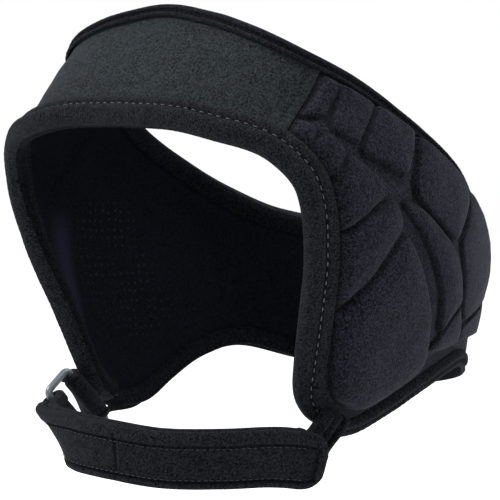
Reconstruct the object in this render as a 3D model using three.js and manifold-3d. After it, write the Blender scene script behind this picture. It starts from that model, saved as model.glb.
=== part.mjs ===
// A soft wrestling ear guard: an open-crowned headgear of covered foam with two channelled ear
// pads, a forehead band, a nape panel, bound edges, an inner lining and a chin strap on a ring.
// Millimetres, +Z up, +X to the wearer's left, -Y to the front; the origin is the middle of the
// head hollow, where a head carries the guard.

import * as THREE from "three";
import { mergeVertices } from "three/addons/utils/BufferGeometryUtils.js";
import Module from "manifold-3d";

const wasm = await Module();
wasm.setup();

// Head hollow
const HALF_WIDTH = 87.9;      // half width of the hollow at the ears
const FACE_REACH = 97.9;      // front of the hollow's form, ahead of the origin
const NAPE_REACH = 119.6;      // back of the hollow's form, behind the origin
const CROWN_RISE = 115;        // foam edge of the crown rim above the origin, at the forehead
const JAW_DROP = 57.7;         // foam edge of the jaw tips below the origin
const FRONT_POWER = 3.16;     // squareness of the front half of a level section
const BACK_POWER = 2.36;      // squareness of its back half

// Layers, from the head outwards
const LINING = 1.2;           // lining cloth
const FOAM = 4;               // covered foam of the panels and of the pads' channels
const CUSHION_WALL = 5;       // side of a cushion above the channels
const CUSHION_CROWN = 2.5;    // further rise of a cushion's middle
const CUSHION_ROUNDING = 2;   // width of a cushion's rounded shoulder
const GAP = 0.4;              // space between neighbouring pieces
const EASE = 0.8;             // space between a binding's cloth and what it is folded round

// Bindings
const TAPE = 1;               // cloth of a binding
const PUFF = 0.8;             // extra rise of a binding's rounded outside
const FACE_LEG = 11;          // width of the face binding on the outside
const RIM_LEG = 5.5;          // width of the crown binding on the outside
const LOWER_LEG = 6.5;        // width of the lower binding on the outside
const INNER_LEG = 7;          // width of every binding on the lining
const CUSHION_MARGIN = 0.8;   // bare foam between a binding or seam and the cushions

// Seams between the panels, as turns from the front in degrees
const SEAM_LOW = 47.2;        // front seam at the face edge
const SEAM_TOP = 64.5;        // front seam at the crown rim
const NAPE_SEAM = 150;        // seam between an ear pad and the nape panel

// Chin strap, ring and ring tab
const STRAP_WIDTH = 26;
const STRAP_CLOTH = 3;        // thickness of one layer
const STRAP_REACH = 67.7;     // chin centre of the strap ahead of the jaw tips
const STRAP_INSET = 10.9;     // half width of the strap's bow round the chin, less than the tips'
const STRAP_HANG = 14.3;      // middle of the strap at the chin below the jaw tips
const RING_WIRE = 3.4;        // diameter of the ring's bar
const RING_PLAY = 0.9;        // play of the strap between the ring's end bars, on each side
const RING_LONG = STRAP_WIDTH + 2 * RING_PLAY + RING_WIRE;
const RING_SHORT = 16;        // distance between the middles of its long bars
const RING_BEND = 2.9;        // radius of its corners, to the bar's middle
const RING_RISE = 38;         // how its short sides climb towards the pad, in degrees
const RING_SPLAY = 2;         // how they turn outwards, in degrees
const RING_LEAN = 13;         // how its long bars lean towards the neck, in degrees
const TAB_WIDTH = 26;
const TAB_CLOTH = 1.6;        // thickness of one layer
const SEWN_LIFT = 1.4;        // how far a flat strap stands off the round edge it is sewn on

// Level sections of the hollow's form: the level is a share of CROWN_RISE above the origin and
// of JAW_DROP below it, the rest are shares of HALF_WIDTH, FACE_REACH and NAPE_REACH.
const FORM = [
  { level: -1.301, width: 0.6, face: 0.33, nape: 0.988 },
  { level: -0.78, width: 0.782, face: 0.423, nape: 1 },
  { level: -0.26, width: 0.899, face: 0.572, nape: 0.977 },
  { level: 0.13, width: 1, face: 0.776, nape: 0.914 },
  { level: 0.391, width: 1, face: 1, nape: 0.737 },
  { level: 0.652, width: 0.877, face: 0.754, nape: 0.594 },
  { level: 0.956, width: 0.752, face: 0.521, nape: 0.456 },
];

// Foam edge of the crown rim, from the forehead to the nape
const RIM = [
  { turn: 0, level: 1 },
  { turn: 30, level: 0.964 },
  { turn: 45, level: 0.913 },
  { turn: 60, level: 0.829 },
  { turn: 75, level: 0.75 },
  { turn: 90, level: 0.659 },
  { turn: 105, level: 0.542 },
  { turn: 120, level: 0.427 },
  { turn: 135, level: 0.308 },
  { turn: 150, level: 0.214 },
  { turn: 180, level: 0.139 },
];

// Foam edge of the face opening, from the middle of the forehead to the jaw tip
const FACE_EDGE = [
  { turn: 0, level: 0.577 },
  { turn: 20.4, level: 0.568 },
  { turn: 34.2, level: 0.531 },
  { turn: 44.6, level: 0.488 },
  { turn: 50.9, level: 0.42 },
  { turn: 54.5, level: 0.346 },
  { turn: 58, level: 0.149 },
  { turn: 60.2, level: -0.178 },
  { turn: 62.1, level: -0.573 },
  { turn: 64.1, level: -0.779 },
  { turn: 68.5, level: -0.916 },
  { turn: 75, level: -1 },
];

// Foam edge under the ear and nape, from the jaw tip to the back
const LOWER_EDGE = [
  { turn: 75, level: -1 },
  { turn: 92, level: -0.975 },
  { turn: 108, level: -0.83 },
  { turn: 125, level: -0.64 },
  { turn: 140, level: -0.54 },
  { turn: 155, level: -0.65 },
  { turn: 180, level: -0.86 },
];

// Raised cushions of an ear pad: each one's rise as a share of the full height, and its corners
// as turns and levels, in order round it
const CUSHIONS = {
  temple_front: { rise: 0.6, corners: [[61.8, 0.744], [67.6, 0.726], [60.1, 0.587], [55, 0.61]] },
  temple_middle: { rise: 0.8, corners: [[68.4, 0.718], [79.9, 0.663], [68.4, 0.496], [61, 0.539]] },
  temple_back: { rise: 1, corners: [[81.2, 0.633], [95, 0.564], [91.2, 0.488], [85.3, 0.396],
    [68.7, 0.469]] },
  crown_back: { rise: 1, corners: [[98, 0.532], [104.8, 0.484], [113.9, 0.407], [116.4, 0.356],
    [114.6, 0.286], [108.4, 0.181], [90, 0.329], [88.6, 0.374]] },
  brow_front: { rise: 0.45, corners: [[53, 0.574], [57.8, 0.551], [55.4, 0.488], [51.6, 0.51]] },
  brow_middle: { rise: 0.65, corners: [[57.6, 0.506], [60.9, 0.525], [64.4, 0.473], [61.6, 0.402],
    [55.4, 0.451]] },
  brow_back: { rise: 0.8, corners: [[65.5, 0.459], [79.4, 0.354], [75.4, 0.331], [61.7, 0.21],
    [60, 0.283], [60.9, 0.354], [62.6, 0.387]] },
  petal_front: { rise: 0.9, corners: [[79.7, 0.318], [83, 0.276], [83.9, 0.233], [77.2, 0.12],
    [69.7, 0], [66, -0.179], [61.8, 0.126], [64.4, 0.189], [74.6, 0.306]] },
  petal_jaw: { rise: 1, corners: [[85.8, 0.21], [92.8, 0.114], [101.6, -0.025], [106, -0.166],
    [109.6, -0.362], [111.8, -0.548], [107, -0.652], [94, -0.781], [81.4, -0.847], [70.6, -0.807],
    [65.7, -0.384], [67.2, -0.256], [72.1, -0.015], [79, 0.111]] },
  petal_back: { rise: 1, corners: [[83.5, 0.312], [90.4, 0.243], [100.2, 0.113], [109.5, -0.048],
    [114.5, -0.314], [120, -0.07], [116.1, 0.045], [110.2, 0.132], [104.3, 0.193], [89.7, 0.312]] },
  lobe_low: { rise: 0.85, corners: [[121.8, -0.111], [127, -0.282], [127.5, -0.416], [116.7, -0.48],
    [112.4, -0.443], [115.8, -0.355]] },
  nape_upper: { rise: 0.8, corners: [[119, 0.4], [118.6, 0.3], [112.3, 0.17], [118.5, 0.05],
    [123, -0.09], [128, -0.24], [146, -0.05], [146, 0.2], [132, 0.31]] },
  nape_lower: { rise: 0.7, corners: [[129, -0.3], [146, -0.11], [146, -0.52], [136, -0.47],
    [130, -0.42]] },
};

// Middle line of the chin strap's inner layer, from the left jaw tip to the ring: across is a
// share of the bow's half width, ahead and below are shares of STRAP_REACH and STRAP_HANG from
// the jaw tips; lean tips the lower border towards the neck, and apart opens the space between
// the layers. The first row carries only the free outer end.
const BOW = [
  { across: 1.45, ahead: 0.169, below: 1.146, lean: 10, apart: 0.5 },
  { across: 1.37, ahead: 0.33, below: 1.04, lean: 12, apart: 0.2 },
  { across: 1.265, ahead: 0.466, below: 0.985, lean: 14, apart: 0 },
  { across: 0.978, ahead: 0.714, below: 1.06, lean: 16, apart: 0 },
  { across: 0.56, ahead: 0.913, below: 1.116, lean: 16, apart: 0 },
  { across: 0.08, ahead: 1, below: 1, lean: 14, apart: 0 },
  { across: -0.307, ahead: 0.975, below: 0.93, lean: 13, apart: 0.1 },
  { across: -0.635, ahead: 0.863, below: 0.85, lean: 12, apart: 0.3 },
  { across: -0.872, ahead: 0.714, below: 0.7, lean: 12, apart: 0.5 },
];

// Middle of the ring's strap bar, in the same shares
const RING_SEAT = { across: -1.056, ahead: 0.576, below: 0.601 };

// Strap's end sewn on the left jaw tip, gathered to a share of its width
const SEWN_END = [
  { turn: 75.4, level: -0.873, width: 0.6 },
  { turn: 73.8, level: -0.991, width: 0.6 },
  { turn: 71.5, level: -1.1, width: 0.66 },
];

// Tab's tail sewn on the right jaw tip: lift is a share of SEWN_LIFT, more where it rounds the
// edge, and width a share of TAB_WIDTH
const TAB_TAIL = [
  { turn: 74, level: -0.93, lift: 1, width: 0.51 },
  { turn: 70.5, level: -0.915, lift: 1.1, width: 0.65 },
  { turn: 67, level: -0.9, lift: 1.6, width: 0.83 },
  { turn: 63.5, level: -0.92, lift: 2.2, width: 0.92 },
];

// Pile of layers at the edges
const PANEL_IN = LINING + GAP;
const PANEL_OUT = PANEL_IN + FOAM;
const LEG_IN = PANEL_OUT + EASE;
const LEG_OUT = LEG_IN + TAPE;
const CUSHION_TOP = PANEL_OUT + CUSHION_WALL + CUSHION_CROWN;

const radians = THREE.MathUtils.degToRad;

// Height of a level share: positive ones follow the crown, negative ones the jaw.
function height(level) {
  return level * (level > 0 ? CROWN_RISE : JAW_DROP);
}

// Smooth curve through the rows' values of one column, at a value of the key column.
function through(rows, key, column, at) {
  const last = rows.length - 1;
  const slope = (row) => {
    const below = rows[Math.max(row - 1, 0)];
    const above = rows[Math.min(row + 1, last)];
    return (above[column] - below[column]) / (above[key] - below[key]);
  };
  let start = 0;
  while (start < last - 1 && at > rows[start + 1][key]) {
    start += 1;
  }
  const low = rows[start];
  const high = rows[start + 1];
  const span = high[key] - low[key];
  const part = THREE.MathUtils.clamp((at - low[key]) / span, 0, 1);
  const beyond = at - low[key] - part * span;
  const [p2, p3] = [part ** 2, part ** 3];
  return (2 * p3 - 3 * p2 + 1) * low[column] + (p3 - 2 * p2 + part) * span * slope(start)
    + (3 * p2 - 2 * p3) * high[column] + (p3 - p2) * span * slope(start + 1)
    + beyond * slope(part > 0 ? start + 1 : start);
}

const SECTIONS = FORM.map((row) => ({
  z: height(row.level),
  width: row.width * HALF_WIDTH,
  face: row.face * FACE_REACH,
  nape: row.nape * NAPE_REACH,
}));

// Point of the hollow's surface at a turn from the front and a height.
function bare(turn, z) {
  const [s, c] = [Math.sin(radians(turn)), Math.cos(radians(turn))];
  const ahead = c > 0;
  const power = ahead ? FRONT_POWER : BACK_POWER;
  const wide = through(SECTIONS, "z", "width", z);
  const long = through(SECTIONS, "z", ahead ? "face" : "nape", z);
  const reach = (Math.abs(s / wide) ** power + Math.abs(c / long) ** power) ** (-1 / power);
  return new THREE.Vector3(reach * s, -reach * c, z);
}

// Outward normal of the hollow's surface.
function normal(turn, z) {
  const STEP = 0.5;
  const along = bare(turn + STEP, z).sub(bare(turn - STEP, z));
  const up = bare(turn, z + STEP).sub(bare(turn, z - STEP));
  return along.cross(up).normalize();
}

// Point at a depth outside the hollow's surface.
function place(turn, z, depth) {
  return bare(turn, z).addScaledVector(normal(turn, z), depth);
}

// Turn and height of the surface point nearest the line from the axis to a point.
function chartOf(point) {
  return { turn: THREE.MathUtils.radToDeg(Math.atan2(point.x, -point.y)), z: point.z };
}

// Solid from vertices and triangles, with shared vertices merged.
function solid(points, faces) {
  const geometry = new THREE.BufferGeometry().setFromPoints(points);
  geometry.setIndex(faces);
  const merged = mergeVertices(geometry, 1e-4);
  return new wasm.Manifold(new wasm.Mesh({
    numProp: 3,
    vertProperties: merged.attributes.position.array,
    triVerts: new Uint32Array(merged.index.array),
  }));
}

// Geometry of a solid, for a three.js mesh.
function geometryOf(body) {
  const mesh = body.getMesh();
  const geometry = new THREE.BufferGeometry();
  geometry.setAttribute("position", new THREE.BufferAttribute(mesh.vertProperties, 3));
  geometry.setIndex(new THREE.BufferAttribute(mesh.triVerts, 1));
  return geometry;
}

// Sheet of the surface: a grid of turns and heights, one row of cells per pair of lines.
// Thickened, it is a closed body between two depths.
function thicken(grids, inside, outside) {
  const points = [];
  const keys = new Map();
  const index = (spot) => {
    const key = `${spot.turn.toFixed(3)} ${spot.z.toFixed(3)}`;
    if (!keys.has(key)) {
      keys.set(key, points.length);
      points.push(place(spot.turn, spot.z, outside), place(spot.turn, spot.z, inside));
    }
    return keys.get(key);
  };
  const faces = [];
  const edges = new Map();
  for (const grid of grids) {
    for (let col = 0; col + 1 < grid.length; col += 1) {
      for (let row = 0; row + 1 < grid[col].length; row += 1) {
        const ring = [grid[col][row], grid[col + 1][row], grid[col + 1][row + 1], grid[col][row + 1]];
        const [a, b, c, d] = ring.map(index);
        faces.push(a, b, c, a, c, d);
        faces.push(a + 1, c + 1, b + 1, a + 1, d + 1, c + 1);
        [[a, b], [b, c], [c, d], [d, a]].forEach(([from, to]) => edges.set(`${from} ${to}`, [from, to]));
      }
    }
  }
  for (const [from, to] of edges.values()) {
    if (!edges.has(`${to} ${from}`)) {
      faces.push(from, from + 1, to + 1, from, to + 1, to);
    }
  }
  return solid(points, faces);
}

// Even steps from one value to another.
function steps(from, to, count) {
  return Array.from({ length: count + 1 }, (_, step) => from + (to - from) * (step / count));
}

// Rows of an edge table as turns and heights, with the length run so far as their key.
function edgeRows(table) {
  let run = 0;
  return table.map((row, number) => {
    const here = { turn: row.turn, z: height(row.level) };
    if (number > 0) {
      const last = { turn: table[number - 1].turn, z: height(table[number - 1].level) };
      run += place(here.turn, here.z, 0).distanceTo(place(last.turn, last.z, 0));
    }
    return { ...here, run };
  });
}

const FACE_ROWS = edgeRows(FACE_EDGE);
const LOWER_ROWS = edgeRows(LOWER_EDGE);
const RIM_ROWS = RIM.map((row) => ({ turn: row.turn, z: height(row.level) }));
const FACE_RUN = FACE_ROWS.at(-1).run;
const LOWER_RUN = LOWER_ROWS.at(-1).run;

function faceSpot(run) {
  return { turn: through(FACE_ROWS, "run", "turn", run), z: through(FACE_ROWS, "run", "z", run) };
}

function lowerSpot(run) {
  return { turn: through(LOWER_ROWS, "run", "turn", run), z: through(LOWER_ROWS, "run", "z", run) };
}

function rimSpot(turn) {
  return { turn, z: through(RIM_ROWS, "turn", "z", Math.abs(turn)) };
}

// Run along an edge at which its turn reaches a value.
function runAt(spotAt, length, turn) {
  let [low, high] = [0, length];
  for (let halving = 0; halving < 40; halving += 1) {
    const middle = (low + high) / 2;
    if (spotAt(middle).turn < turn) {
      low = middle;
    } else {
      high = middle;
    }
  }
  return low;
}

const SEAM_RUN = runAt(faceSpot, FACE_RUN, SEAM_LOW);
const NAPE_RUN = runAt(lowerSpot, LOWER_RUN, NAPE_SEAM);

// How finely each stretch is stepped
const BROW_STEPS = 9;         // half the forehead
const CHEEK_STEPS = 12;       // face edge of an ear pad, from the jaw tip to the seam
const SEAM_STEPS = 4;         // height of the front seam
const EAR_STEPS = 11;         // length of an ear pad
const EAR_CROWDING = 1.3;     // how much closer those steps lie at its front
const NAPE_STEPS = 6;         // width of the nape panel
const BOW_STEPS = 18;         // one layer of the strap round the chin
const BEND_STEPS = 3;         // one corner of the ring
const BAR_SIDES = 8;          // round section of the ring's bar

// Steps along an ear pad, closer together at its front, where it curves most.
function crowded(from, to, count) {
  return steps(0, 1, count).map((part) => from + (to - from) * part ** EAR_CROWDING);
}

function mix(from, to, part) {
  return {
    turn: from.turn + (to.turn - from.turn) * part,
    z: from.z + (to.z - from.z) * part,
  };
}

function mirrored(spot) {
  return { turn: -spot.turn, z: spot.z };
}

// Grid of the forehead between its seams, each column from the face edge up to the rim.
function browGrid(spare) {
  const half = steps(0, SEAM_RUN - spare, BROW_STEPS).map((run) => {
    const low = faceSpot(run);
    const top = rimSpot(low.turn * (SEAM_TOP / SEAM_LOW));
    return steps(0, 1, SEAM_STEPS).map((part) => mix(low, top, part));
  });
  const right = half.slice(1).reverse().map((column) => column.map(mirrored));
  return [...right, ...half];
}

// Grid of the left ear pad: its border runs up the face edge and the front seam, along the rim
// and the lower edge, and up the nape seam, and the inside is blended between the four sides.
function earGrid(spare) {
  const cheek = steps(FACE_RUN, SEAM_RUN + spare, CHEEK_STEPS).map(faceSpot);
  const spareTurn = THREE.MathUtils.radToDeg(spare / HALF_WIDTH);
  const corner = rimSpot(SEAM_TOP + spareTurn);
  const seam = steps(0, 1, SEAM_STEPS).slice(1).map((part) => mix(cheek.at(-1), corner, part));
  const front = [...cheek, ...seam];
  const rows = front.length - 1;
  const low = crowded(0, NAPE_RUN - spare, EAR_STEPS).map(lowerSpot);
  const backTop = rimSpot(low.at(-1).turn);
  const high = crowded(corner.turn, backTop.turn, EAR_STEPS).map(rimSpot);
  const back = steps(0, 1, rows).map((part) => mix(low.at(-1), backTop, part));
  return low.map((lowSpot, col) => front.map((frontSpot, row) => {
    const [u, v] = [(col / EAR_STEPS) ** EAR_CROWDING, row / rows];
    const between = (column) => (1 - u) * frontSpot[column] + u * back[row][column]
      + (1 - v) * lowSpot[column] + v * high[col][column]
      - (1 - v) * ((1 - u) * low[0][column] + u * low.at(-1)[column])
      - v * ((1 - u) * high[0][column] + u * high.at(-1)[column]);
    return { turn: between("turn"), z: between("z") };
  }));
}

// Grid of the nape panel, across the back from the left seam to the right one.
function napeGrid(spare) {
  const rows = CHEEK_STEPS + SEAM_STEPS;
  const half = steps(NAPE_RUN + spare, LOWER_RUN, NAPE_STEPS / 2).map((run) => {
    const low = lowerSpot(run);
    return steps(0, 1, rows).map((part) => mix(low, rimSpot(low.turn), part));
  });
  const around = (spot) => ({ turn: 360 - spot.turn, z: spot.z });
  const right = half.slice(0, -1).reverse().map((column) => column.map(around));
  return [...half, ...right];
}

function flipped(grid) {
  return grid.map((column) => column.map(mirrored)).reverse();
}

// The turns of the nape's right half lie past 180; the right ear's are below zero.
function wrapped(grid) {
  return grid.map((column) => column.map((spot) => (
    { turn: spot.turn > 180.001 ? spot.turn - 360 : spot.turn, z: spot.z })));
}

// Spot reached from another by a step in a direction, along the surface.
function walk(spot, direction, distance) {
  return chartOf(bare(spot.turn, spot.z).addScaledVector(direction, distance));
}

// Frames along an edge: where it is, and the direction out of the panel across the edge.
function edgeFrames(spots, closed, side) {
  const count = spots.length;
  const spotAt = (number) => spots[closed ? (number + count) % count
    : THREE.MathUtils.clamp(number, 0, count - 1)];
  return spots.map((spot, number) => {
    const [before, after] = [spotAt(number - 1), spotAt(number + 1)];
    const along = bare(after.turn, after.z).sub(bare(before.turn, before.z)).normalize();
    const out = along.clone().cross(normal(spot.turn, spot.z)).multiplyScalar(side).normalize();
    return { spot, along, out };
  });
}

// Frames of an open stretch, its two ends drawn back from what meets them there.
function drawnBack(frames, distance) {
  const last = frames.length - 1;
  return frames.map((frame, number) => {
    if (number > 0 && number < last) {
      return frame;
    }
    return { ...frame, spot: walk(frame.spot, frame.along, number > 0 ? -distance : distance) };
  });
}

// Triangles that close the end of a sweep whose ring bulges everywhere.
function fan(size) {
  return Array.from({ length: size - 2 }, (_, number) => [0, number + 1, number + 2]);
}

// Closed body swept through rings of points; an open sweep is closed by the cap's triangles.
function skin(rings, closed, cap = fan(rings[0].length)) {
  const size = rings[0].length;
  const points = rings.flat();
  const faces = [];
  const joints = closed ? rings.length : rings.length - 1;
  for (let ring = 0; ring < joints; ring += 1) {
    const [here, next] = [ring * size, ((ring + 1) % rings.length) * size];
    for (let corner = 0; corner < size; corner += 1) {
      const turn = (corner + 1) % size;
      faces.push(here + corner, here + turn, next + turn, here + corner, next + turn, next + corner);
    }
  }
  if (!closed) {
    const end = (rings.length - 1) * size;
    cap.forEach(([a, b, c]) => {
      faces.push(c, b, a, end + a, end + b, end + c);
    });
  }
  const body = solid(points, faces);
  return body.volume() < 0 ? solid(points, faces.toReversed()) : body;
}

// Section of a binding, folded round the edge of the lining and the foam: how far past the
// foam's edge each corner lies, and its depth.
function bindingSection(leg) {
  const hem = EASE + TAPE;
  const middle = PANEL_OUT / 2;
  return [
    [-leg, LEG_OUT - TAPE / 2],
    [-leg * 0.85, LEG_OUT + PUFF * 0.6],
    [-leg * 0.4, LEG_OUT + PUFF],
    [0, LEG_OUT + PUFF * 0.3],
    [hem, middle + PANEL_OUT * 0.3],
    [hem, middle - PANEL_OUT * 0.3],
    [0, -EASE - TAPE],
    [-INNER_LEG, -EASE - TAPE],
    [-INNER_LEG, -EASE],
    [EASE, -EASE],
    [EASE, LEG_IN],
    [-leg * 0.5, LEG_IN],
    [-leg, LEG_IN],
  ];
}

// Triangles of the folded section, between its outer and inner corners
const FOLDED_CAP = [
  [12, 0, 1], [12, 1, 11], [11, 1, 2], [11, 2, 10], [10, 2, 3], [10, 3, 4],
  [10, 4, 9], [9, 4, 5], [9, 5, 6], [9, 6, 7], [9, 7, 8],
];

// Binding along an edge. Its leg may narrow from one width to another.
function binding(frames, legs, closed) {
  const rings = frames.map(({ spot, out }, number) => (
    bindingSection(legs[number]).map(([past, depth]) => {
      const reached = walk(spot, out, past);
      return place(reached.turn, reached.z, depth);
    })));
  return skin(rings, closed, FOLDED_CAP);
}

// Everything a binding's outside leg covers, with a margin, up past the cushions' tops.
function keepOut(frames, legs, closed) {
  const roof = CUSHION_TOP + FOAM;
  const rings = frames.map(({ spot, out }, number) => {
    const leg = legs[number] + CUSHION_MARGIN;
    const corners = [[-leg, PANEL_OUT], [-leg, roof], [FOAM, roof], [FOAM, PANEL_OUT]];
    return corners.map(([past, depth]) => {
      const reached = walk(spot, out, past);
      return place(reached.turn, reached.z, depth);
    });
  });
  return skin(rings, closed);
}

// One raised cushion: a steep side, a rounded shoulder and a crowned middle.
function cushion({ rise, corners }, side) {
  const SPACING = 15;
  const ring = [];
  corners.forEach(([turn, level], number) => {
    const [nextTurn, nextLevel] = corners[(number + 1) % corners.length];
    const from = { turn: side * turn, z: height(level) };
    const to = { turn: side * nextTurn, z: height(nextLevel) };
    const gap = bare(from.turn, from.z).distanceTo(bare(to.turn, to.z));
    const pieces = Math.max(1, Math.round(gap / SPACING));
    steps(0, 1, pieces).slice(0, -1).forEach((part) => ring.push(mix(from, to, part)));
  });
  const middle = {
    turn: ring.reduce((sum, spot) => sum + spot.turn, 0) / ring.length,
    z: ring.reduce((sum, spot) => sum + spot.z, 0) / ring.length,
  };
  const centre = bare(middle.turn, middle.z);
  const [wall, crown] = [rise * CUSHION_WALL, rise * CUSHION_CROWN];
  const layers = [
    [0, PANEL_OUT - FOAM / 2],
    [0, PANEL_OUT + wall * 0.55],
    [CUSHION_ROUNDING, PANEL_OUT + wall],
    [CUSHION_ROUNDING * 3.5, PANEL_OUT + wall + crown * 0.75],
  ];
  const points = layers.flatMap(([inwards, depth]) => ring.map((spot) => {
    const reach = bare(spot.turn, spot.z).distanceTo(centre);
    const here = mix(spot, middle, Math.min(inwards / reach, inwards / CUSHION_ROUNDING / 6));
    return place(here.turn, here.z, depth);
  }));
  const size = ring.length;
  const faces = [];
  for (let layer = 0; layer + 1 < layers.length; layer += 1) {
    for (let corner = 0; corner < size; corner += 1) {
      const [a, b] = [layer * size + corner, layer * size + ((corner + 1) % size)];
      faces.push(a, b, b + size, a, b + size, a + size);
    }
  }
  const foot = points.push(place(middle.turn, middle.z, layers[0][1])) - 1;
  const roof = points.push(place(middle.turn, middle.z, PANEL_OUT + wall + crown)) - 1;
  const top = (layers.length - 1) * size;
  for (let corner = 0; corner < size; corner += 1) {
    const next = (corner + 1) % size;
    faces.push(foot, next, corner, roof, top + corner, top + next);
  }
  const body = solid(points, faces);
  return body.volume() < 0 ? solid(points, faces.toReversed()) : body;
}

// Spots of the whole edges, in order, at the same steps as the grids' borders.
function facePath() {
  const cheek = steps(FACE_RUN, SEAM_RUN, CHEEK_STEPS).map(faceSpot);
  const brow = steps(SEAM_RUN, 0, BROW_STEPS).map(faceSpot).slice(1);
  const left = [...cheek, ...brow];
  return [...left, ...left.slice(0, -1).reverse().map(mirrored)];
}

function lowerPath() {
  const ear = crowded(0, NAPE_RUN, EAR_STEPS).map(lowerSpot);
  const nape = steps(NAPE_RUN, LOWER_RUN, NAPE_STEPS / 2).map(lowerSpot).slice(1);
  const left = [...ear, ...nape];
  return [...left, ...left.slice(0, -1).reverse().map(mirrored)];
}

function rimPath() {
  const brow = steps(0, SEAM_RUN, BROW_STEPS).map((run) => faceSpot(run).turn * (SEAM_TOP / SEAM_LOW));
  const ear = crowded(SEAM_TOP, NAPE_SEAM, EAR_STEPS).slice(1);
  const nape = steps(NAPE_RUN, LOWER_RUN, NAPE_STEPS / 2).slice(1).map((run) => lowerSpot(run).turn);
  const left = [...brow, ...ear, ...nape].map(rimSpot);
  return [...left, ...left.slice(1, -1).reverse().map(mirrored)];
}

// The face binding narrows to the lower binding's width round the jaw tips.
function faceLegs(count) {
  const NARROWING = 4;
  return Array.from({ length: count }, (_, number) => {
    const fromTip = Math.min(number, count - 1 - number);
    return THREE.MathUtils.lerp(LOWER_LEG, FACE_LEG, Math.min(fromTip / NARROWING, 1));
  });
}

// The face edge and the lower edge are one border; their bindings meet at the jaw tips.
const FACE_PATH = facePath();
const BORDER = edgeFrames([...FACE_PATH, ...lowerPath().slice(1, -1).reverse()], true, -1);
const FACE_FRAMES = drawnBack(BORDER.slice(0, FACE_PATH.length), GAP / 2);
const LOWER_FRAMES = drawnBack([...BORDER.slice(FACE_PATH.length - 1), BORDER[0]], GAP / 2);
const RIM_FRAMES = edgeFrames(rimPath(), true, -1);
const FACE_LEGS = faceLegs(FACE_FRAMES.length);
const LOWER_LEGS = LOWER_FRAMES.map(() => LOWER_LEG);
const RIM_LEGS = RIM_FRAMES.map(() => RIM_LEG);

function foreheadPanel() {
  return thicken([browGrid(GAP / 2)], PANEL_IN, PANEL_OUT);
}

function napePanel() {
  return thicken([napeGrid(GAP / 2)], PANEL_IN, PANEL_OUT);
}

function lining() {
  const left = earGrid(0);
  return thicken([browGrid(0), left, wrapped(napeGrid(0)), flipped(left)], 0, LINING);
}

// Foam shell of an ear pad with its raised cushions, kept clear of the bindings and seams.
function earPad(side) {
  const grid = side > 0 ? earGrid(GAP / 2) : flipped(earGrid(GAP / 2));
  const seams = [
    edgeFrames(grid.at(side > 0 ? 0 : -1).slice(CHEEK_STEPS), false, -side),
    edgeFrames(grid.at(side > 0 ? -1 : 0), false, side),
  ];
  const raised = Object.values(CUSHIONS)
    .map((row) => cushion(row, side))
    .reduce((sum, body) => sum.add(body));
  const inBorders = raised.intersect(thicken([grid], PANEL_IN, CUSHION_TOP + FOAM));
  const trimmed = [
    keepOut(FACE_FRAMES, FACE_LEGS, false),
    keepOut(LOWER_FRAMES, LOWER_LEGS, false),
    keepOut(RIM_FRAMES, RIM_LEGS, true),
    ...seams.map((frames) => keepOut(frames, frames.map(() => 0), false)),
  ].reduce((rest, cutter) => rest.subtract(cutter), inBorders);
  return thicken([grid], PANEL_IN, PANEL_OUT).add(trimmed);
}

// Section of a flat strap: chamfered at its borders, wide along the first direction.
function ribbonRing({ middle, wide, thick, width, cloth }) {
  const chamfer = cloth * 0.35;
  const [half, deep] = [width / 2, cloth / 2];
  const corners = [
    [half, deep - chamfer], [half - chamfer, deep], [chamfer - half, deep], [-half, deep - chamfer],
    [-half, chamfer - deep], [chamfer - half, -deep], [half - chamfer, -deep], [half, chamfer - deep],
  ];
  return corners.map(([across, out]) => (
    middle.clone().addScaledVector(wide, across).addScaledVector(thick, out)));
}

// Strap swept through stations, each with its middle, its width direction and its width.
function ribbon(stations, cloth) {
  const rings = stations.map((station, number) => {
    const before = stations[Math.max(number - 1, 0)].middle;
    const after = stations[Math.min(number + 1, stations.length - 1)].middle;
    const along = after.clone().sub(before).normalize();
    const wide = station.wide.clone().addScaledVector(along, -station.wide.dot(along)).normalize();
    const thick = along.clone().cross(wide);
    return ribbonRing({ middle: station.middle, wide, thick, width: station.width, cloth });
  });
  return skin(rings, false);
}

const UP = new THREE.Vector3(0, 0, 1);
const TIP_ROW = FACE_EDGE.at(-1);
const JAW_TIP = bare(TIP_ROW.turn, height(TIP_ROW.level));

function bowPoint({ across, ahead, below }) {
  return new THREE.Vector3(
    across * (JAW_TIP.x - STRAP_INSET), JAW_TIP.y - ahead * STRAP_REACH, JAW_TIP.z - below * STRAP_HANG);
}

// Rows of the bow with the length run so far as their key.
function bowRows() {
  let run = 0;
  return BOW.map((row, number) => {
    if (number > 0) {
      run += bowPoint(row).distanceTo(bowPoint(BOW[number - 1]));
    }
    return { ...row, run };
  });
}

// Stations of one layer along the bow, set out from its middle line by a share of the layers'
// spacing, which opens towards the ring.
function bowLayer(from, to, count, outer) {
  const rows = bowRows();
  const ring = ringFrame().wide;
  const at = (run) => {
    const row = { run };
    ["across", "ahead", "below", "lean", "apart"].forEach((column) => {
      row[column] = through(rows, "run", column, run);
    });
    return row;
  };
  return steps(rows[from].run, rows[to].run, count).map((run) => {
    const row = at(run);
    const along = bowPoint(at(run + 1)).sub(bowPoint(at(run - 1))).normalize();
    const inwards = along.clone().cross(UP).normalize();
    const lean = radians(row.lean);
    const wide = UP.clone().multiplyScalar(-Math.cos(lean)).addScaledVector(inwards, Math.sin(lean));
    const face = along.clone().cross(wide).normalize();
    const shift = outer ? (STRAP_CLOTH + GAP) * (1 + row.apart) : 0;
    wide.lerp(ring, THREE.MathUtils.smoothstep(run, rows[to - 2].run, rows[to].run));
    return { middle: bowPoint(row).addScaledVector(face, shift), wide, width: STRAP_WIDTH };
  });
}

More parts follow.
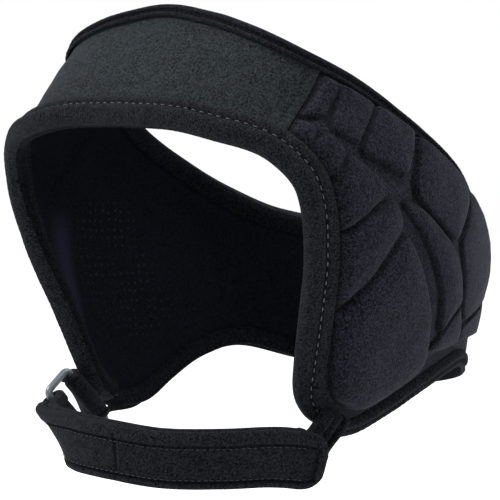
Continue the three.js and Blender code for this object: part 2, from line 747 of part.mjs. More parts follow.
// Place and directions of the ring: its long bars run along `wide`, and `back` goes from the
// strap's bar to the tab's bar.
function ringFrame() {
  const seat = bowPoint(RING_SEAT);
  const [rise, splay, lean] = [RING_RISE, RING_SPLAY, RING_LEAN].map(radians);
  const back = new THREE.Vector3(
    -Math.sin(splay) * Math.cos(rise), Math.cos(splay) * Math.cos(rise), Math.sin(rise));
  const inwards = new THREE.Vector3(Math.cos(splay), Math.sin(splay), 0);
  const wide = UP.clone().multiplyScalar(-Math.cos(lean)).addScaledVector(inwards, Math.sin(lean));
  wide.addScaledVector(back, -wide.dot(back)).normalize();
  const out = back.clone().cross(wide).normalize();
  return { strapBar: seat, tabBar: seat.clone().addScaledVector(back, RING_SHORT), wide, back, out };
}

// Half turn round one of the ring's bars, from the end of the lower layer to the upper one's.
function wrap(bar, wide, low, high, cloth, width) {
  const FOLD_STEPS = 6;
  const FOLD_RUN = 3.2;
  const radius = RING_WIRE / 2 + GAP + cloth / 2;
  const heading = bar.clone().addScaledVector(low, -0.5).addScaledVector(high, -0.5);
  heading.addScaledVector(wide, -heading.dot(wide)).normalize();
  const facing = heading.clone().cross(wide);
  if (facing.dot(high.clone().sub(low)) < 0) {
    facing.negate();
  }
  const station = (angle, ahead) => ({
    middle: bar.clone()
      .addScaledVector(facing, -radius * Math.cos(angle))
      .addScaledVector(heading, ahead),
    wide,
    width,
  });
  const bend = steps(0, Math.PI, FOLD_STEPS).map((angle) => station(angle, radius * Math.sin(angle)));
  return [station(0, -FOLD_RUN), ...bend, station(Math.PI, -FOLD_RUN)];
}

// The chin strap: sewn on the left jaw tip, round the chin to the ring, folded back round the
// ring's bar and out again to its rounded free end.
function chinStrap() {
  const depth = LEG_OUT + PUFF + SEWN_LIFT / 2 + STRAP_CLOTH / 2;
  const sewn = SEWN_END.map(({ turn, level, width }) => {
    const z = height(level);
    return {
      middle: place(turn, z, depth),
      wide: place(turn + 1, z, depth).sub(place(turn - 1, z, depth)).normalize(),
      width: width * STRAP_WIDTH,
    };
  });
  const last = BOW.length - 1;
  const frame = ringFrame();
  const inner = bowLayer(1, last, BOW_STEPS, false);
  const outer = bowLayer(0, last, BOW_STEPS, true).reverse();
  outer.at(-1).width = STRAP_WIDTH * 0.62;
  outer.at(-2).width = STRAP_WIDTH * 0.94;
  const [low, high] = [inner.at(-1).middle, outer[0].middle];
  const fold = wrap(frame.strapBar, frame.wide, low, high, STRAP_CLOTH, STRAP_WIDTH);
  return ribbon([...sewn, ...inner, ...fold, ...outer], STRAP_CLOTH);
}

// The ring: a round bar bent to a rectangle with rounded corners.
function strapRing() {
  const frame = ringFrame();
  const middle = frame.strapBar.clone().lerp(frame.tabBar, 0.5);
  const [long, short] = [RING_LONG / 2, RING_SHORT / 2];
  const QUARTER = 90;
  const corners = [[1, 1, 0], [-1, 1, QUARTER], [-1, -1, 2 * QUARTER], [1, -1, 3 * QUARTER]];
  const rings = corners.flatMap(([right, up, start]) => (
    steps(start, start + QUARTER, BEND_STEPS).map((degrees) => ({ right, up, degrees }))
  )).map(({ right, up, degrees }) => {
    const angle = radians(degrees);
    const outwards = frame.wide.clone().multiplyScalar(Math.cos(angle))
      .addScaledVector(frame.back, Math.sin(angle));
    const centre = middle.clone()
      .addScaledVector(frame.wide, right * (long - RING_BEND))
      .addScaledVector(frame.back, up * (short - RING_BEND))
      .addScaledVector(outwards, RING_BEND);
    return steps(0, 360, BAR_SIDES).slice(1).map((turn) => centre.clone()
      .addScaledVector(outwards, RING_WIRE / 2 * Math.cos(radians(turn)))
      .addScaledVector(frame.out, RING_WIRE / 2 * Math.sin(radians(turn))));
  });
  return skin(rings, true);
}

// The tab: a doubled strip sewn on the right jaw tip that holds the ring's other bar.
function ringTab() {
  const frame = ringFrame();
  const under = LEG_OUT + PUFF + TAB_CLOTH / 2;
  const tail = (depth) => TAB_TAIL.map(({ turn, level, lift, width }) => {
    const spot = { turn: -turn, z: height(level) };
    return {
      middle: place(spot.turn, spot.z, depth + lift * SEWN_LIFT),
      wide: bare(-turn - 4, height(level + 0.16)).sub(bare(-turn + 4, height(level - 0.16)))
        .normalize().negate(),
      width: width * TAB_WIDTH,
    };
  });
  const low = tail(under);
  const high = tail(under + TAB_CLOTH + GAP).reverse();
  const fold = wrap(frame.tabBar, frame.wide, low.at(-1).middle, high[0].middle, TAB_CLOTH, TAB_WIDTH);
  return ribbon([...low, ...fold, ...high], TAB_CLOTH);
}

const PALETTE = {
  panel: { color: 0x26292b, roughness: 0.9 },
  pad: { color: 0x201f27, roughness: 0.92 },
  binding: { color: 0x232325, roughness: 0.88 },
  lining: { color: 0x131417, roughness: 0.85 },
  plastic: { color: 0x7d8790, roughness: 0.4 },
};

const object = new THREE.Group();

function addMesh(name, body, finish) {
  const mesh = new THREE.Mesh(geometryOf(body), new THREE.MeshStandardMaterial(PALETTE[finish]));
  mesh.name = name;
  object.add(mesh);
}

addMesh("forehead_panel", foreheadPanel(), "panel");
addMesh("ear_pad_left", earPad(1), "pad");
addMesh("ear_pad_right", earPad(-1), "pad");
addMesh("nape_panel", napePanel(), "panel");
addMesh("lining", lining(), "lining");
addMesh("crown_binding", binding(RIM_FRAMES, RIM_LEGS, true), "binding");
addMesh("face_binding", binding(FACE_FRAMES, FACE_LEGS, false), "binding");
addMesh("lower_binding", binding(LOWER_FRAMES, LOWER_LEGS, false), "binding");
addMesh("chin_strap", chinStrap(), "panel");
addMesh("strap_ring", strapRing(), "plastic");
addMesh("ring_tab", ringTab(), "binding");

export default object;
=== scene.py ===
import math

import bpy
import numpy as np
from mathutils import Matrix, Vector


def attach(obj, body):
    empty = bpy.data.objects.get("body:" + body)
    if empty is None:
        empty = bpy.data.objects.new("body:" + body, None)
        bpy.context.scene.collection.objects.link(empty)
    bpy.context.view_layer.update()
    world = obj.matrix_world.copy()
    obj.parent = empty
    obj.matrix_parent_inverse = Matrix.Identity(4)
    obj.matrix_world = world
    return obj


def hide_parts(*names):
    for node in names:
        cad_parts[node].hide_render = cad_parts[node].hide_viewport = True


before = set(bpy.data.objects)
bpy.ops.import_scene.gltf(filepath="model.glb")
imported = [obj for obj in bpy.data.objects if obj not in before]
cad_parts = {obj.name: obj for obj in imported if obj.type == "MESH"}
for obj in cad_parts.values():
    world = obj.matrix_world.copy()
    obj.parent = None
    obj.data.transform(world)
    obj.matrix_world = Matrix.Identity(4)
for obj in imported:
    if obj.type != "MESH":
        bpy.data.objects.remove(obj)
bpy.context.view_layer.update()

# Lengths are millimetres until a mesh is made, turns are degrees from the front towards the left.
MM = 0.001
HALF_WIDTH = 87.9
FACE_REACH = 97.9
NAPE_REACH = 119.6
CROWN_RISE = 115.0
JAW_DROP = 57.7
FRONT_POWER = 3.16
BACK_POWER = 2.36
LINING = 1.2
FOAM = 4.0
CUSHION_WALL = 5.0
CUSHION_CROWN = 2.5
GAP = 0.4
EASE = 0.8
TAPE = 1.0
PUFF = 0.8
FACE_LEG = 11.0
RIM_LEG = 5.5
LOWER_LEG = 6.5
INNER_LEG = 7.0
CUSHION_MARGIN = 0.8
SEAM_LOW = 47.2
SEAM_TOP = 64.5
NAPE_SEAM = 150.0
STRAP_WIDTH = 26.0
STRAP_CLOTH = 3.0
STRAP_REACH = 67.7
STRAP_INSET = 10.9
STRAP_HANG = 14.3
RING_WIRE = 3.4
RING_PLAY = 0.9
RING_LONG = STRAP_WIDTH + 2 * RING_PLAY + RING_WIRE
RING_SHORT = 16.0
RING_BEND = 2.9
RING_RISE = 38.0
RING_SPLAY = 2.0
RING_LEAN = 13.0
TAB_WIDTH = 26.0
TAB_CLOTH = 1.6
SEWN_LIFT = 1.4
FOLD_RUN = 3.2
FOLD_STEPS = 7
BOW_STEPS = 19

# Relief of the pads and panels
CHANNEL_LIFT = 3.4
CUSHION_SPREAD = 0.35
LEAST_RISE = 1.1
RUN_UNDER = 2.5
CORNER_BEND = 14.0
HEM_WIDTH = 4.4
PAD_COLS = 215
PAD_ROWS = 150
PANEL_COLS = 221
PANEL_ROWS = 70
SEAM_SHARE = 0.32

# Bindings: stitch lines as shares of a leg, and the section's rows that face the hollow, which take a
# darker copy of the binding cloth as painted shade
STITCH_PLACE = -0.52
INNER_STITCH_PLACE = -0.74
HOLLOW_SHADE_ROWS = (14, 22)
FACE_ROLL = PUFF + 0.7
LEG_EASING = 42.0
BINDING_STEP = 0.75
BINDING_SAMPLES = 600
PUCKER_PERIOD = 3.1

# Rows of stitches: pitch, length, thickness
SHOWN_SEWING = (4.2, 2.3, 0.5)
EDGE_SEWING = (2.9, 1.9, 0.38)
INSIDE_SEWING = (2.9, 1.8, 0.38)
SEAM_SEWING = (2.4, 1.7, 0.85)
STRAP_SEWING = (2.7, 1.8, 0.45)
TACK_SEWING = (0.8, 2.6, 0.45)
# A stitch: places along it, and thickness there, as shares
STITCH_FORM = np.array([(-0.5, 0.05), (-0.42, 0.6), (-0.2, 1), (0.2, 1), (0.42, 0.6), (0.5, 0.05)])
STITCH_SIDES = 6

# Strap and tab cloth
STRAP_BANDS = (6.0, 3.7)
STRAP_ROUND = 13.0
STRAP_STEP = 0.7
STRAP_COLS = 41
STRAP_SEAM_RUN = 61.8
SEAM_DEPTH = 0.7
GATHER_PERIOD = 5.2
GATHER_DEPTH = 1.1
TAB_BANDS = (2.6, 2.6)
TAB_ROWS = 120

# Painted reflection: a faint purplish upright stripe on the lining, in its cloth's own millimetres
REFLECTION_AT = 106.5
REFLECTION_WIDE = 9.0
REFLECTION_LEAN = 0.19

PANEL_IN = LINING + GAP
PANEL_OUT = PANEL_IN + FOAM
LEG_IN = PANEL_OUT + EASE
LEG_OUT = LEG_IN + TAPE

# Sections of the hollow: level, and width, face and nape as shares of their sizes
FORM = np.array([
    (-1.301, 0.6, 0.33, 0.988),
    (-0.78, 0.782, 0.423, 1),
    (-0.26, 0.899, 0.572, 0.977),
    (0.13, 1, 0.776, 0.914),
    (0.391, 1, 1, 0.737),
    (0.652, 0.877, 0.754, 0.594),
    (0.956, 0.752, 0.521, 0.456),
])
# Edges: turn, level. The rim's first row mirrors its third, so that it runs level at the front.
RIM = np.array([
    (-30, 0.964), (0, 1), (30, 0.964), (45, 0.913), (60, 0.829), (75, 0.75), (90, 0.659),
    (105, 0.542), (120, 0.427), (135, 0.308), (150, 0.214), (180, 0.139),
])
FACE_EDGE = np.array([
    (0, 0.577), (20.4, 0.568), (34.2, 0.531), (44.6, 0.488), (50.9, 0.42), (54.5, 0.346),
    (58, 0.149), (60.2, -0.178), (62.1, -0.573), (64.1, -0.779), (68.5, -0.916), (75, -1),
])
LOWER_EDGE = np.array([
    (75, -1), (92, -0.975), (108, -0.83), (125, -0.64), (140, -0.54), (155, -0.65), (180, -0.86),
])
# Rise of each cushion and the corners round it, as turns and levels
CUSHIONS = {
    "temple_front": (0.6, [(61.8, 0.744), (67.6, 0.726), (60.1, 0.587), (55, 0.61)]),
    "temple_middle": (0.8, [(68.4, 0.718), (79.9, 0.663), (68.4, 0.496), (61, 0.539)]),
    "temple_back": (1, [(81.2, 0.633), (95, 0.564), (91.2, 0.488), (85.3, 0.396), (68.7, 0.469)]),
    "crown_back": (1, [(98, 0.532), (104.8, 0.484), (113.9, 0.407), (116.4, 0.356), (114.6, 0.286),
                       (108.4, 0.181), (90, 0.329), (88.6, 0.374)]),
    "brow_front": (0.45, [(53, 0.574), (57.8, 0.551), (55.4, 0.488), (51.6, 0.51)]),
    "brow_middle": (0.65, [(57.6, 0.506), (60.9, 0.525), (64.4, 0.473), (61.6, 0.402), (55.4, 0.451)]),
    "brow_back": (0.8, [(65.5, 0.459), (79.4, 0.354), (75.4, 0.331), (61.7, 0.21), (60, 0.283),
                        (60.9, 0.354), (62.6, 0.387)]),
    "petal_front": (0.9, [(79.7, 0.318), (83, 0.276), (83.9, 0.233), (77.2, 0.12), (69.7, 0),
                          (66, -0.179), (61.8, 0.126), (64.4, 0.189), (74.6, 0.306)]),
    "petal_jaw": (1, [(85.8, 0.21), (92.8, 0.114), (101.6, -0.025), (106, -0.166), (109.6, -0.362),
                      (111.8, -0.548), (107, -0.652), (94, -0.781), (81.4, -0.847), (70.6, -0.807),
                      (65.7, -0.384), (67.2, -0.256), (72.1, -0.015), (79, 0.111)]),
    "petal_back": (1, [(83.5, 0.312), (90.4, 0.243), (100.2, 0.113), (109.5, -0.048), (114.5, -0.314),
                       (120, -0.07), (116.1, 0.045), (110.2, 0.132), (104.3, 0.193), (89.7, 0.312)]),
    "lobe_low": (0.85, [(121.8, -0.111), (127, -0.282), (127.5, -0.416), (116.7, -0.48), (112.4, -0.443),
                        (115.8, -0.355)]),
    "nape_upper": (0.8, [(119, 0.4), (118.6, 0.3), (112.3, 0.17), (118.5, 0.05), (123, -0.09),
                          (128, -0.24), (146, -0.05), (146, 0.2), (132, 0.31)]),
    "nape_lower": (0.7, [(129, -0.3), (146, -0.11), (146, -0.52), (136, -0.47), (130, -0.42)]),
}
# Strap round the chin: across, ahead, below, lean in degrees, share of extra room between layers
BOW = np.array([
    (1.45, 0.169, 1.146, 10, 0.5),
    (1.37, 0.33, 1.04, 12, 0.2),
    (1.265, 0.466, 0.985, 14, 0),
    (0.978, 0.714, 1.06, 16, 0),
    (0.56, 0.913, 1.116, 16, 0),
    (0.08, 1, 1, 14, 0),
    (-0.307, 0.975, 0.93, 13, 0.1),
    (-0.635, 0.863, 0.85, 12, 0.3),
    (-0.872, 0.714, 0.7, 12, 0.5),
])
RING_SEAT = (-1.056, 0.576, 0.601)
# Turn, level, width
SEWN_END = np.array([(75.4, -0.873, 0.6), (73.8, -0.991, 0.6), (71.5, -1.1, 0.66)])
# Turn, level, lift, width
TAB_TAIL = np.array([
    (74, -0.93, 1, 0.51), (70.5, -0.915, 1.1, 0.65), (67, -0.9, 1.6, 0.83), (63.5, -0.92, 2.2, 0.92),
])

# Middle of the wide soft groove between the front petal and the jaw petal: turn, level
GROOVE = np.array([(85.5, 0.225), (76, 0.06), (68.5, -0.13), (63, -0.36)])
# Folds of the lining: first turn and height, last turn and height, depth, width
LINING_FOLDS = [
    (137.5, 8, 133, -30, 1.5, 3.2), (149.5, 0, 151.5, -38, 1.2, 3.0), (143, 12, 141, -20, 0.8, 3.4),
    (100, 40, 122, 18, 0.5, 6.0), (72, 20, 66, -28, 0.5, 5.0),
]
LINING_SEAM = (78.5, 61, 66.5, 28)
EAR_HOLLOW = np.array([(92, 2), (93, 6)], float)
PINHOLES = np.array([(92, 12), (93, -2), (100, -12)], float)
LINING_SAMPLES = 900
LINING_COLS = 521
LINING_ROWS = 90

# Camera of the photo: degrees, millimetres
CAMERA_TURN = 41.009
CAMERA_RISE = 2.205
CAMERA_ROLL = 1.723
CAMERA_AWAY = 1110.08
CAMERA_ASIDE = 4.33
CAMERA_LIFT = 11.73
CAMERA_LENS = 176.4
SENSOR = 36.0
# Floor in metres
FLOOR_REACH = 9.0
FLOOR_LEVEL = -0.34
# Lights: place, target and size in metres, power in watts
LIGHTS = {
    "key": ((-0.95, -1.0, 1.35), (0, 0, 0.02), 0.7, 72),
    "side": ((1.5, -0.75, 0.9), (0.05, 0, 0), 0.7, 11),
    "top": ((0.6, 0.5, 1.5), (0, 0, 0), 0.8, 30),
}


def height(level):
    level = np.asarray(level, float)
    return np.where(level > 0, level * CROWN_RISE, level * JAW_DROP)


def through(keys, values, at):
    """Smooth curve through rows of values, with slopes from the neighbouring rows."""
    at = np.asarray(at, float)
    last = len(keys) - 1
    row = np.clip(np.searchsorted(keys, at, side="left") - 1, 0, last - 1)
    slope = np.empty(last + 1)
    slope[1:-1] = (values[2:] - values[:-2]) / (keys[2:] - keys[:-2])
    slope[0] = (values[1] - values[0]) / (keys[1] - keys[0])
    slope[-1] = (values[-1] - values[-2]) / (keys[-1] - keys[-2])
    span = keys[row + 1] - keys[row]
    free = (at - keys[row]) / span
    part = np.clip(free, 0, 1)
    beyond = (free - part) * span
    low, high = slope[row] * span, slope[row + 1] * span
    p2, p3 = part ** 2, part ** 3
    within = ((2 * p3 - 3 * p2 + 1) * values[row] + (p3 - 2 * p2 + part) * low
              + (3 * p2 - 2 * p3) * values[row + 1] + (p3 - p2) * high)
    return within + beyond * np.where(part > 0, slope[row + 1], slope[row])


def curves(keys, rows, at):
    """Smooth curves through the columns of a table."""
    return np.stack([through(keys, column, at) for column in rows.T], 1)


SECTION_Z = height(FORM[:, 0])


def bare(turn, z):
    """Points of the hollow's surface at turns and heights."""
    angle = np.radians(turn)
    s, c = np.sin(angle), np.cos(angle)
    wide = through(SECTION_Z, FORM[:, 1] * HALF_WIDTH, z)
    face = through(SECTION_Z, FORM[:, 2] * FACE_REACH, z)
    nape = through(SECTION_Z, FORM[:, 3] * NAPE_REACH, z)
    long = np.where(c > 0, face, nape)
    power = np.where(c > 0, FRONT_POWER, BACK_POWER)
    reach = (np.abs(s / wide) ** power + np.abs(c / long) ** power + 1e-12) ** (-1 / power)
    return np.stack([reach * s, -reach * c, z + 0 * reach], -1)


def surface(chart):
    """Points of the hollow's surface along a line of turns and heights."""
    return bare(chart[:, 0], chart[:, 1])


def normal(turn, z):
    step = 0.5
    along = bare(turn + step, z) - bare(turn - step, z)
    up = bare(turn, z + step) - bare(turn, z - step)
    out = np.cross(along, up)
    return out / np.linalg.norm(out, axis=-1, keepdims=True)


def place(turn, z, depth):
    return bare(turn, z) + normal(turn, z) * np.asarray(depth, float)[..., None]


def chart_of(points):
    return np.degrees(np.arctan2(points[..., 0], -points[..., 1])), points[..., 2]


def smooth(low, high, at):
    part = np.clip((at - low) / (high - low), 0, 1)
    return part * part * (3 - 2 * part)


def ripple(points, size, seed):
    """Soft unevenness of cloth, from -1 to 1, with bumps of about a size in millimetres."""
    rng = np.random.default_rng(seed)
    waves = rng.normal(size=(14, 3))
    waves /= np.linalg.norm(waves, axis=1, keepdims=True)
    waves *= (2 * math.pi / size * rng.uniform(0.6, 1.6, 14))[:, None]
    phases = rng.uniform(0, 2 * math.pi, 14)
    return np.sin(points @ waves.T + phases).sum(-1) / math.sqrt(14) / 1.4


def runs(points):
    return np.r_[0, np.cumsum(np.linalg.norm(np.diff(points, axis=0), axis=1))]


def resample(values, keys, step):
    count = max(2, int(round(keys[-1] / step)) + 1)
    at = np.linspace(0, keys[-1], count)
    return curves(keys, values, at)


FACE_Z = height(FACE_EDGE[:, 1])
LOWER_Z = height(LOWER_EDGE[:, 1])
RIM_Z = height(RIM[:, 1])
FACE_RUNS = runs(bare(FACE_EDGE[:, 0], FACE_Z))
LOWER_RUNS = runs(bare(LOWER_EDGE[:, 0], LOWER_Z))
FACE_RUN = FACE_RUNS[-1]
LOWER_RUN = LOWER_RUNS[-1]


def face_spot(run):
    return through(FACE_RUNS, FACE_EDGE[:, 0], run), through(FACE_RUNS, FACE_Z, run)


def lower_spot(run):
    return through(LOWER_RUNS, LOWER_EDGE[:, 0], run), through(LOWER_RUNS, LOWER_Z, run)


def rim_z(turn):
    return through(RIM[:, 0], RIM_Z, np.abs(turn))


def run_at(spot, length, turn):
    samples = np.linspace(0, length, 4001)
    return float(np.interp(turn, spot(samples)[0], samples))


SEAM_RUN = run_at(face_spot, FACE_RUN, SEAM_LOW)
NAPE_RUN = run_at(lower_spot, LOWER_RUN, NAPE_SEAM)


def line_distance(points, line):
    """Distance from each point to a polyline, in slices that keep the memory small."""
    start, step = line[:-1], np.diff(line, axis=0)
    size = (step ** 2).sum(1) + 1e-12
    best = np.empty(len(points))
    for low in range(0, len(points), 4000):
        part = points[low:low + 4000, None] - start[None]
        share = np.clip((part * step[None]).sum(2) / size[None], 0, 1)
        gap = part - share[..., None] * step[None]
        best[low:low + 4000] = np.sqrt((gap ** 2).sum(2).min(1))
    return best


def inside(turn, z, corners):
    """Whether chart points lie inside a polygon of turns and heights."""
    result = np.zeros(turn.shape, bool)
    for (t0, z0), (t1, z1) in zip(corners, np.roll(corners, -1, axis=0)):
        if z0 == z1:
            continue
        crosses = (z > min(z0, z1)) & (z <= max(z0, z1))
        result ^= crosses & (turn < t0 + (z - z0) * (t1 - t0) / (z1 - z0))
    return result


def rounded(corners, sharp, broad):
    """Polygon with its corners cut round: by `sharp` at a corner and by `broad` along a bow."""
    points = surface(corners)
    ring = []
    for number in range(len(corners)):
        before, here, after = (corners[(number + k) % len(corners)] for k in (-1, 0, 1))
        a, b, c = (points[(number + k) % len(corners)] for k in (-1, 0, 1))
        back, ahead = np.linalg.norm(a - b), np.linalg.norm(c - b)
        straight = -np.dot(a - b, c - b) / back / ahead
        cut = sharp + (broad - sharp) * smooth(0.6, 0.9, straight)
        low = here + (before - here) * min(0.48, cut / back)
        high = here + (after - here) * min(0.48, cut / ahead)
        for part in np.linspace(0, 1, 6):
            ring.append((1 - part) ** 2 * low + 2 * part * (1 - part) * here + part ** 2 * high)
    return np.array(ring)


# Meshes

def linked(name, data):
    piece = bpy.data.objects.new(name, data)
    bpy.context.scene.collection.objects.link(piece)
    return piece


def make(name, points, faces, material, nodes=(), flat=None, parts=None):
    """A piece from points in millimetres; `flat` is a cloth coordinate kept for its material."""
    mesh = bpy.data.meshes.new(name)
    mesh.from_pydata((np.asarray(points) * MM).tolist(), [], [list(map(int, f)) for f in faces])
    mesh.polygons.foreach_set("use_smooth", [True] * len(mesh.polygons))
    if flat is not None:
        layer = mesh.attributes.new("flat", "FLOAT_VECTOR", "POINT")
        values = np.zeros((len(points), 3))
        values[:, :flat.shape[1]] = flat
        layer.data.foreach_set("vector", values.ravel())
    mesh.validate()
    mesh.update()
    piece = linked(name, mesh)
    for entry in material if isinstance(material, list) else [material]:
        mesh.materials.append(entry)
    if parts is not None:
        mesh.polygons.foreach_set("material_index", parts)
    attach(piece, "root")
    if nodes:
        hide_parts(*nodes)
    return piece


def grid_faces(rows, cols, closed_rows=False, closed_cols=False):
    row = np.arange(rows if closed_rows else rows - 1)
    col = np.arange(cols if closed_cols else cols - 1)
    r, c = np.meshgrid(row, col, indexing="ij")
    r1, c1 = (r + 1) % rows, (c + 1) % cols
    return np.stack([r * cols + c, r * cols + c1, r1 * cols + c1, r1 * cols + c], -1).reshape(-1, 4)


def closed_sheet(outer, inner):
    """Points and faces of a closed body between two grids of the same shape."""
    rows, cols = outer.shape[:2]
    top = grid_faces(rows, cols)
    under = top[:, ::-1] + rows * cols
    index = np.arange(rows * cols).reshape(rows, cols)
    border = np.concatenate([index[0, :-1], index[:-1, -1], index[-1, :0:-1], index[:0:-1, 0]])
    after = np.roll(border, -1)
    side = np.stack([border, border + rows * cols, after + rows * cols, after], 1)
    points = np.concatenate([outer.reshape(-1, 3), inner.reshape(-1, 3)])
    return points, np.concatenate([top, under, side])


def swept(rings, closed):
    """Points and faces through rings of points, with flat ends on an open sweep."""
    count, size = rings.shape[:2]
    faces = grid_faces(count, size, closed, True).tolist()
    if not closed:
        faces.append(list(range(size))[::-1])
        faces.append([(count - 1) * size + k for k in range(size)])
    return rings.reshape(-1, 3), faces


def outwards(points, faces):
    """Faces turned the right way out, judged by the volume that they close."""
    points = np.asarray(points)
    total = 0.0
    for face in faces:
        p = points[list(face)]
        for k in range(1, len(face) - 1):
            total += np.dot(p[0], np.cross(p[k], p[k + 1]))
    return faces if total > 0 else [list(face)[::-1] for face in faces]


# Materials

def node_material(name):
    material = bpy.data.materials.new(name)
    material.use_nodes = True
    tree = material.node_tree
    return material, tree, tree.nodes["Principled BSDF"]


def fill(node, **values):
    """Values for a node's inputs, whose names have underscores here in place of spaces."""
    for key, value in values.items():
        node.inputs[key.replace("_", " ")].default_value = value


def new_node(tree, kind, **values):
    node = tree.nodes.new(kind)
    for key, value in values.items():
        if hasattr(node, key):
            setattr(node, key, value)
        else:
            fill(node, **{key: value})
    return node


def noise(tree, vector, scale, detail=3.0, roughness=0.6):
    node = new_node(tree, "ShaderNodeTexNoise", Scale=scale, Detail=detail, Roughness=roughness)
    tree.links.new(vector, node.inputs["Vector"])
    return node.outputs["Fac"]


def math_node(tree, operation, a, b=None, clamp=False):
    node = new_node(tree, "ShaderNodeMath", operation=operation, use_clamp=clamp)
    for slot, value in enumerate([a, b]):
        if value is None:
            continue
        if isinstance(value, (int, float)):
            node.inputs[slot].default_value = value
        else:
            tree.links.new(value, node.inputs[slot])
    return node.outputs[0]


def spread(tree, value, low, high, to_low, to_high):
    node = new_node(tree, "ShaderNodeMapRange")
    tree.links.new(value, node.inputs["Value"])
    fill(node, From_Min=low, From_Max=high, To_Min=to_low, To_Max=to_high)
    return node.outputs["Result"]


def scaled_colour(tree, colour, factor):
    node = new_node(tree, "ShaderNodeVectorMath", operation="SCALE")
    node.inputs[0].default_value = colour
    tree.links.new(factor, node.inputs["Scale"])
    return node.outputs[0]


def blended(tree, factor, base, colour):
    node = new_node(tree, "ShaderNodeMix", data_type="RGBA")
    tree.links.new(factor, node.inputs[0])
    tree.links.new(base, node.inputs[6])
    node.inputs[7].default_value = (*colour, 1)
    return node.outputs[2]


def bump(tree, shader, layers):
    """Bump nodes in a row: (height, distance in metres, strength) for each layer."""
    last = None
    for value, distance, strength in layers:
        node = new_node(tree, "ShaderNodeBump", Strength=strength, Distance=distance)
        tree.links.new(value, node.inputs["Height"])
        if last is not None:
            tree.links.new(last, node.inputs["Normal"])
        last = node.outputs["Normal"]
    tree.links.new(last, shader.inputs["Normal"])


def wave_of(tree, value, period):
    """A ridge wave from 0 to 1 along a coordinate in millimetres."""
    angle = math_node(tree, "MULTIPLY", value, 2 * math.pi / period)
    ridge = math_node(tree, "SINE", angle)
    return spread(tree, ridge, -1.0, 1.0, 0.0, 1.0)


def cloth(name, colour, grain, mottle, rib=0.0, rib_period=1.1, diagonal=1.0, sheen=0.25, rough=0.9,
          fuzz=1.0, uses_painted_shade=False, gloss=0.03):
    """Knitted or brushed cloth: ribs along its own coordinate, a fine grain, mottled colour, and where
    asked painted shade in creases.
    """
    material, tree, shader = node_material(name)
    where = new_node(tree, "ShaderNodeTexCoord").outputs["Object"]
    flat = new_node(tree, "ShaderNodeAttribute", attribute_name="flat")
    axes = new_node(tree, "ShaderNodeSeparateXYZ")
    tree.links.new(flat.outputs["Vector"], axes.inputs[0])
    fine = noise(tree, where, 1 / (grain * MM), 2.0, 0.7)
    coarse = noise(tree, where, 1 / (grain * 5 * MM), 3.0, 0.6)
    broad = noise(tree, where, 22.0, 2.0, 0.5)
    fibre = noise(tree, where, 1 / (grain * 0.45 * MM), 1.0, 0.5)
    speck = noise(tree, where, 1 / (grain * 1.4 * MM), 3.0, 0.8)
    shade = math_node(tree, "ADD", spread(tree, fine, 0.36, 0.64, -mottle, mottle),
                      spread(tree, coarse, 0.3, 0.7, -mottle * 0.3, mottle * 0.3))
    shade = math_node(tree, "ADD", shade, spread(tree, speck, 0.36, 0.64, -mottle, mottle))
    shade = math_node(tree, "ADD", shade, spread(tree, broad, 0.3, 0.7, -0.08, 0.08))
    shade = math_node(tree, "MAXIMUM", math_node(tree, "ADD", shade, 1.0), 0.12)
    # Painted shade: colour darkened where the mesh's flat attribute marks creases, stitch dents and seam
    # grooves.
    if uses_painted_shade:
        shade = math_node(tree, "MULTIPLY", shade, spread(tree, axes.outputs["Z"], 0.0, 1.0, 1.0, 0.3))
    layers = [(fine, 0.00026 * fuzz, 1.0), (fibre, 0.00012 * fuzz, 0.9)]
    if rib:
        lean = math_node(tree, "MULTIPLY", axes.outputs["Y"], diagonal)
        one = wave_of(tree, math_node(tree, "ADD", axes.outputs["X"], lean), rib_period)
        other = wave_of(tree, math_node(tree, "SUBTRACT", axes.outputs["X"], lean), rib_period)
        knit = math_node(tree, "MULTIPLY", math_node(tree, "ADD", one, other), 0.5)
        layers.append((knit, 0.00022, rib))
        ridges = spread(tree, knit, 0.0, 1.0, 1 - 0.28 * rib, 1 + 0.2 * rib)
        shade = math_node(tree, "MULTIPLY", shade, ridges)
    tree.links.new(scaled_colour(tree, colour, shade), shader.inputs["Base Color"])
    fill(shader, Roughness=rough, Specular_IOR_Level=gloss, Sheen_Weight=sheen, Sheen_Roughness=0.45,
         Sheen_Tint=(0.75, 0.8, 0.95, 1))
    bump(tree, shader, layers)
    return material


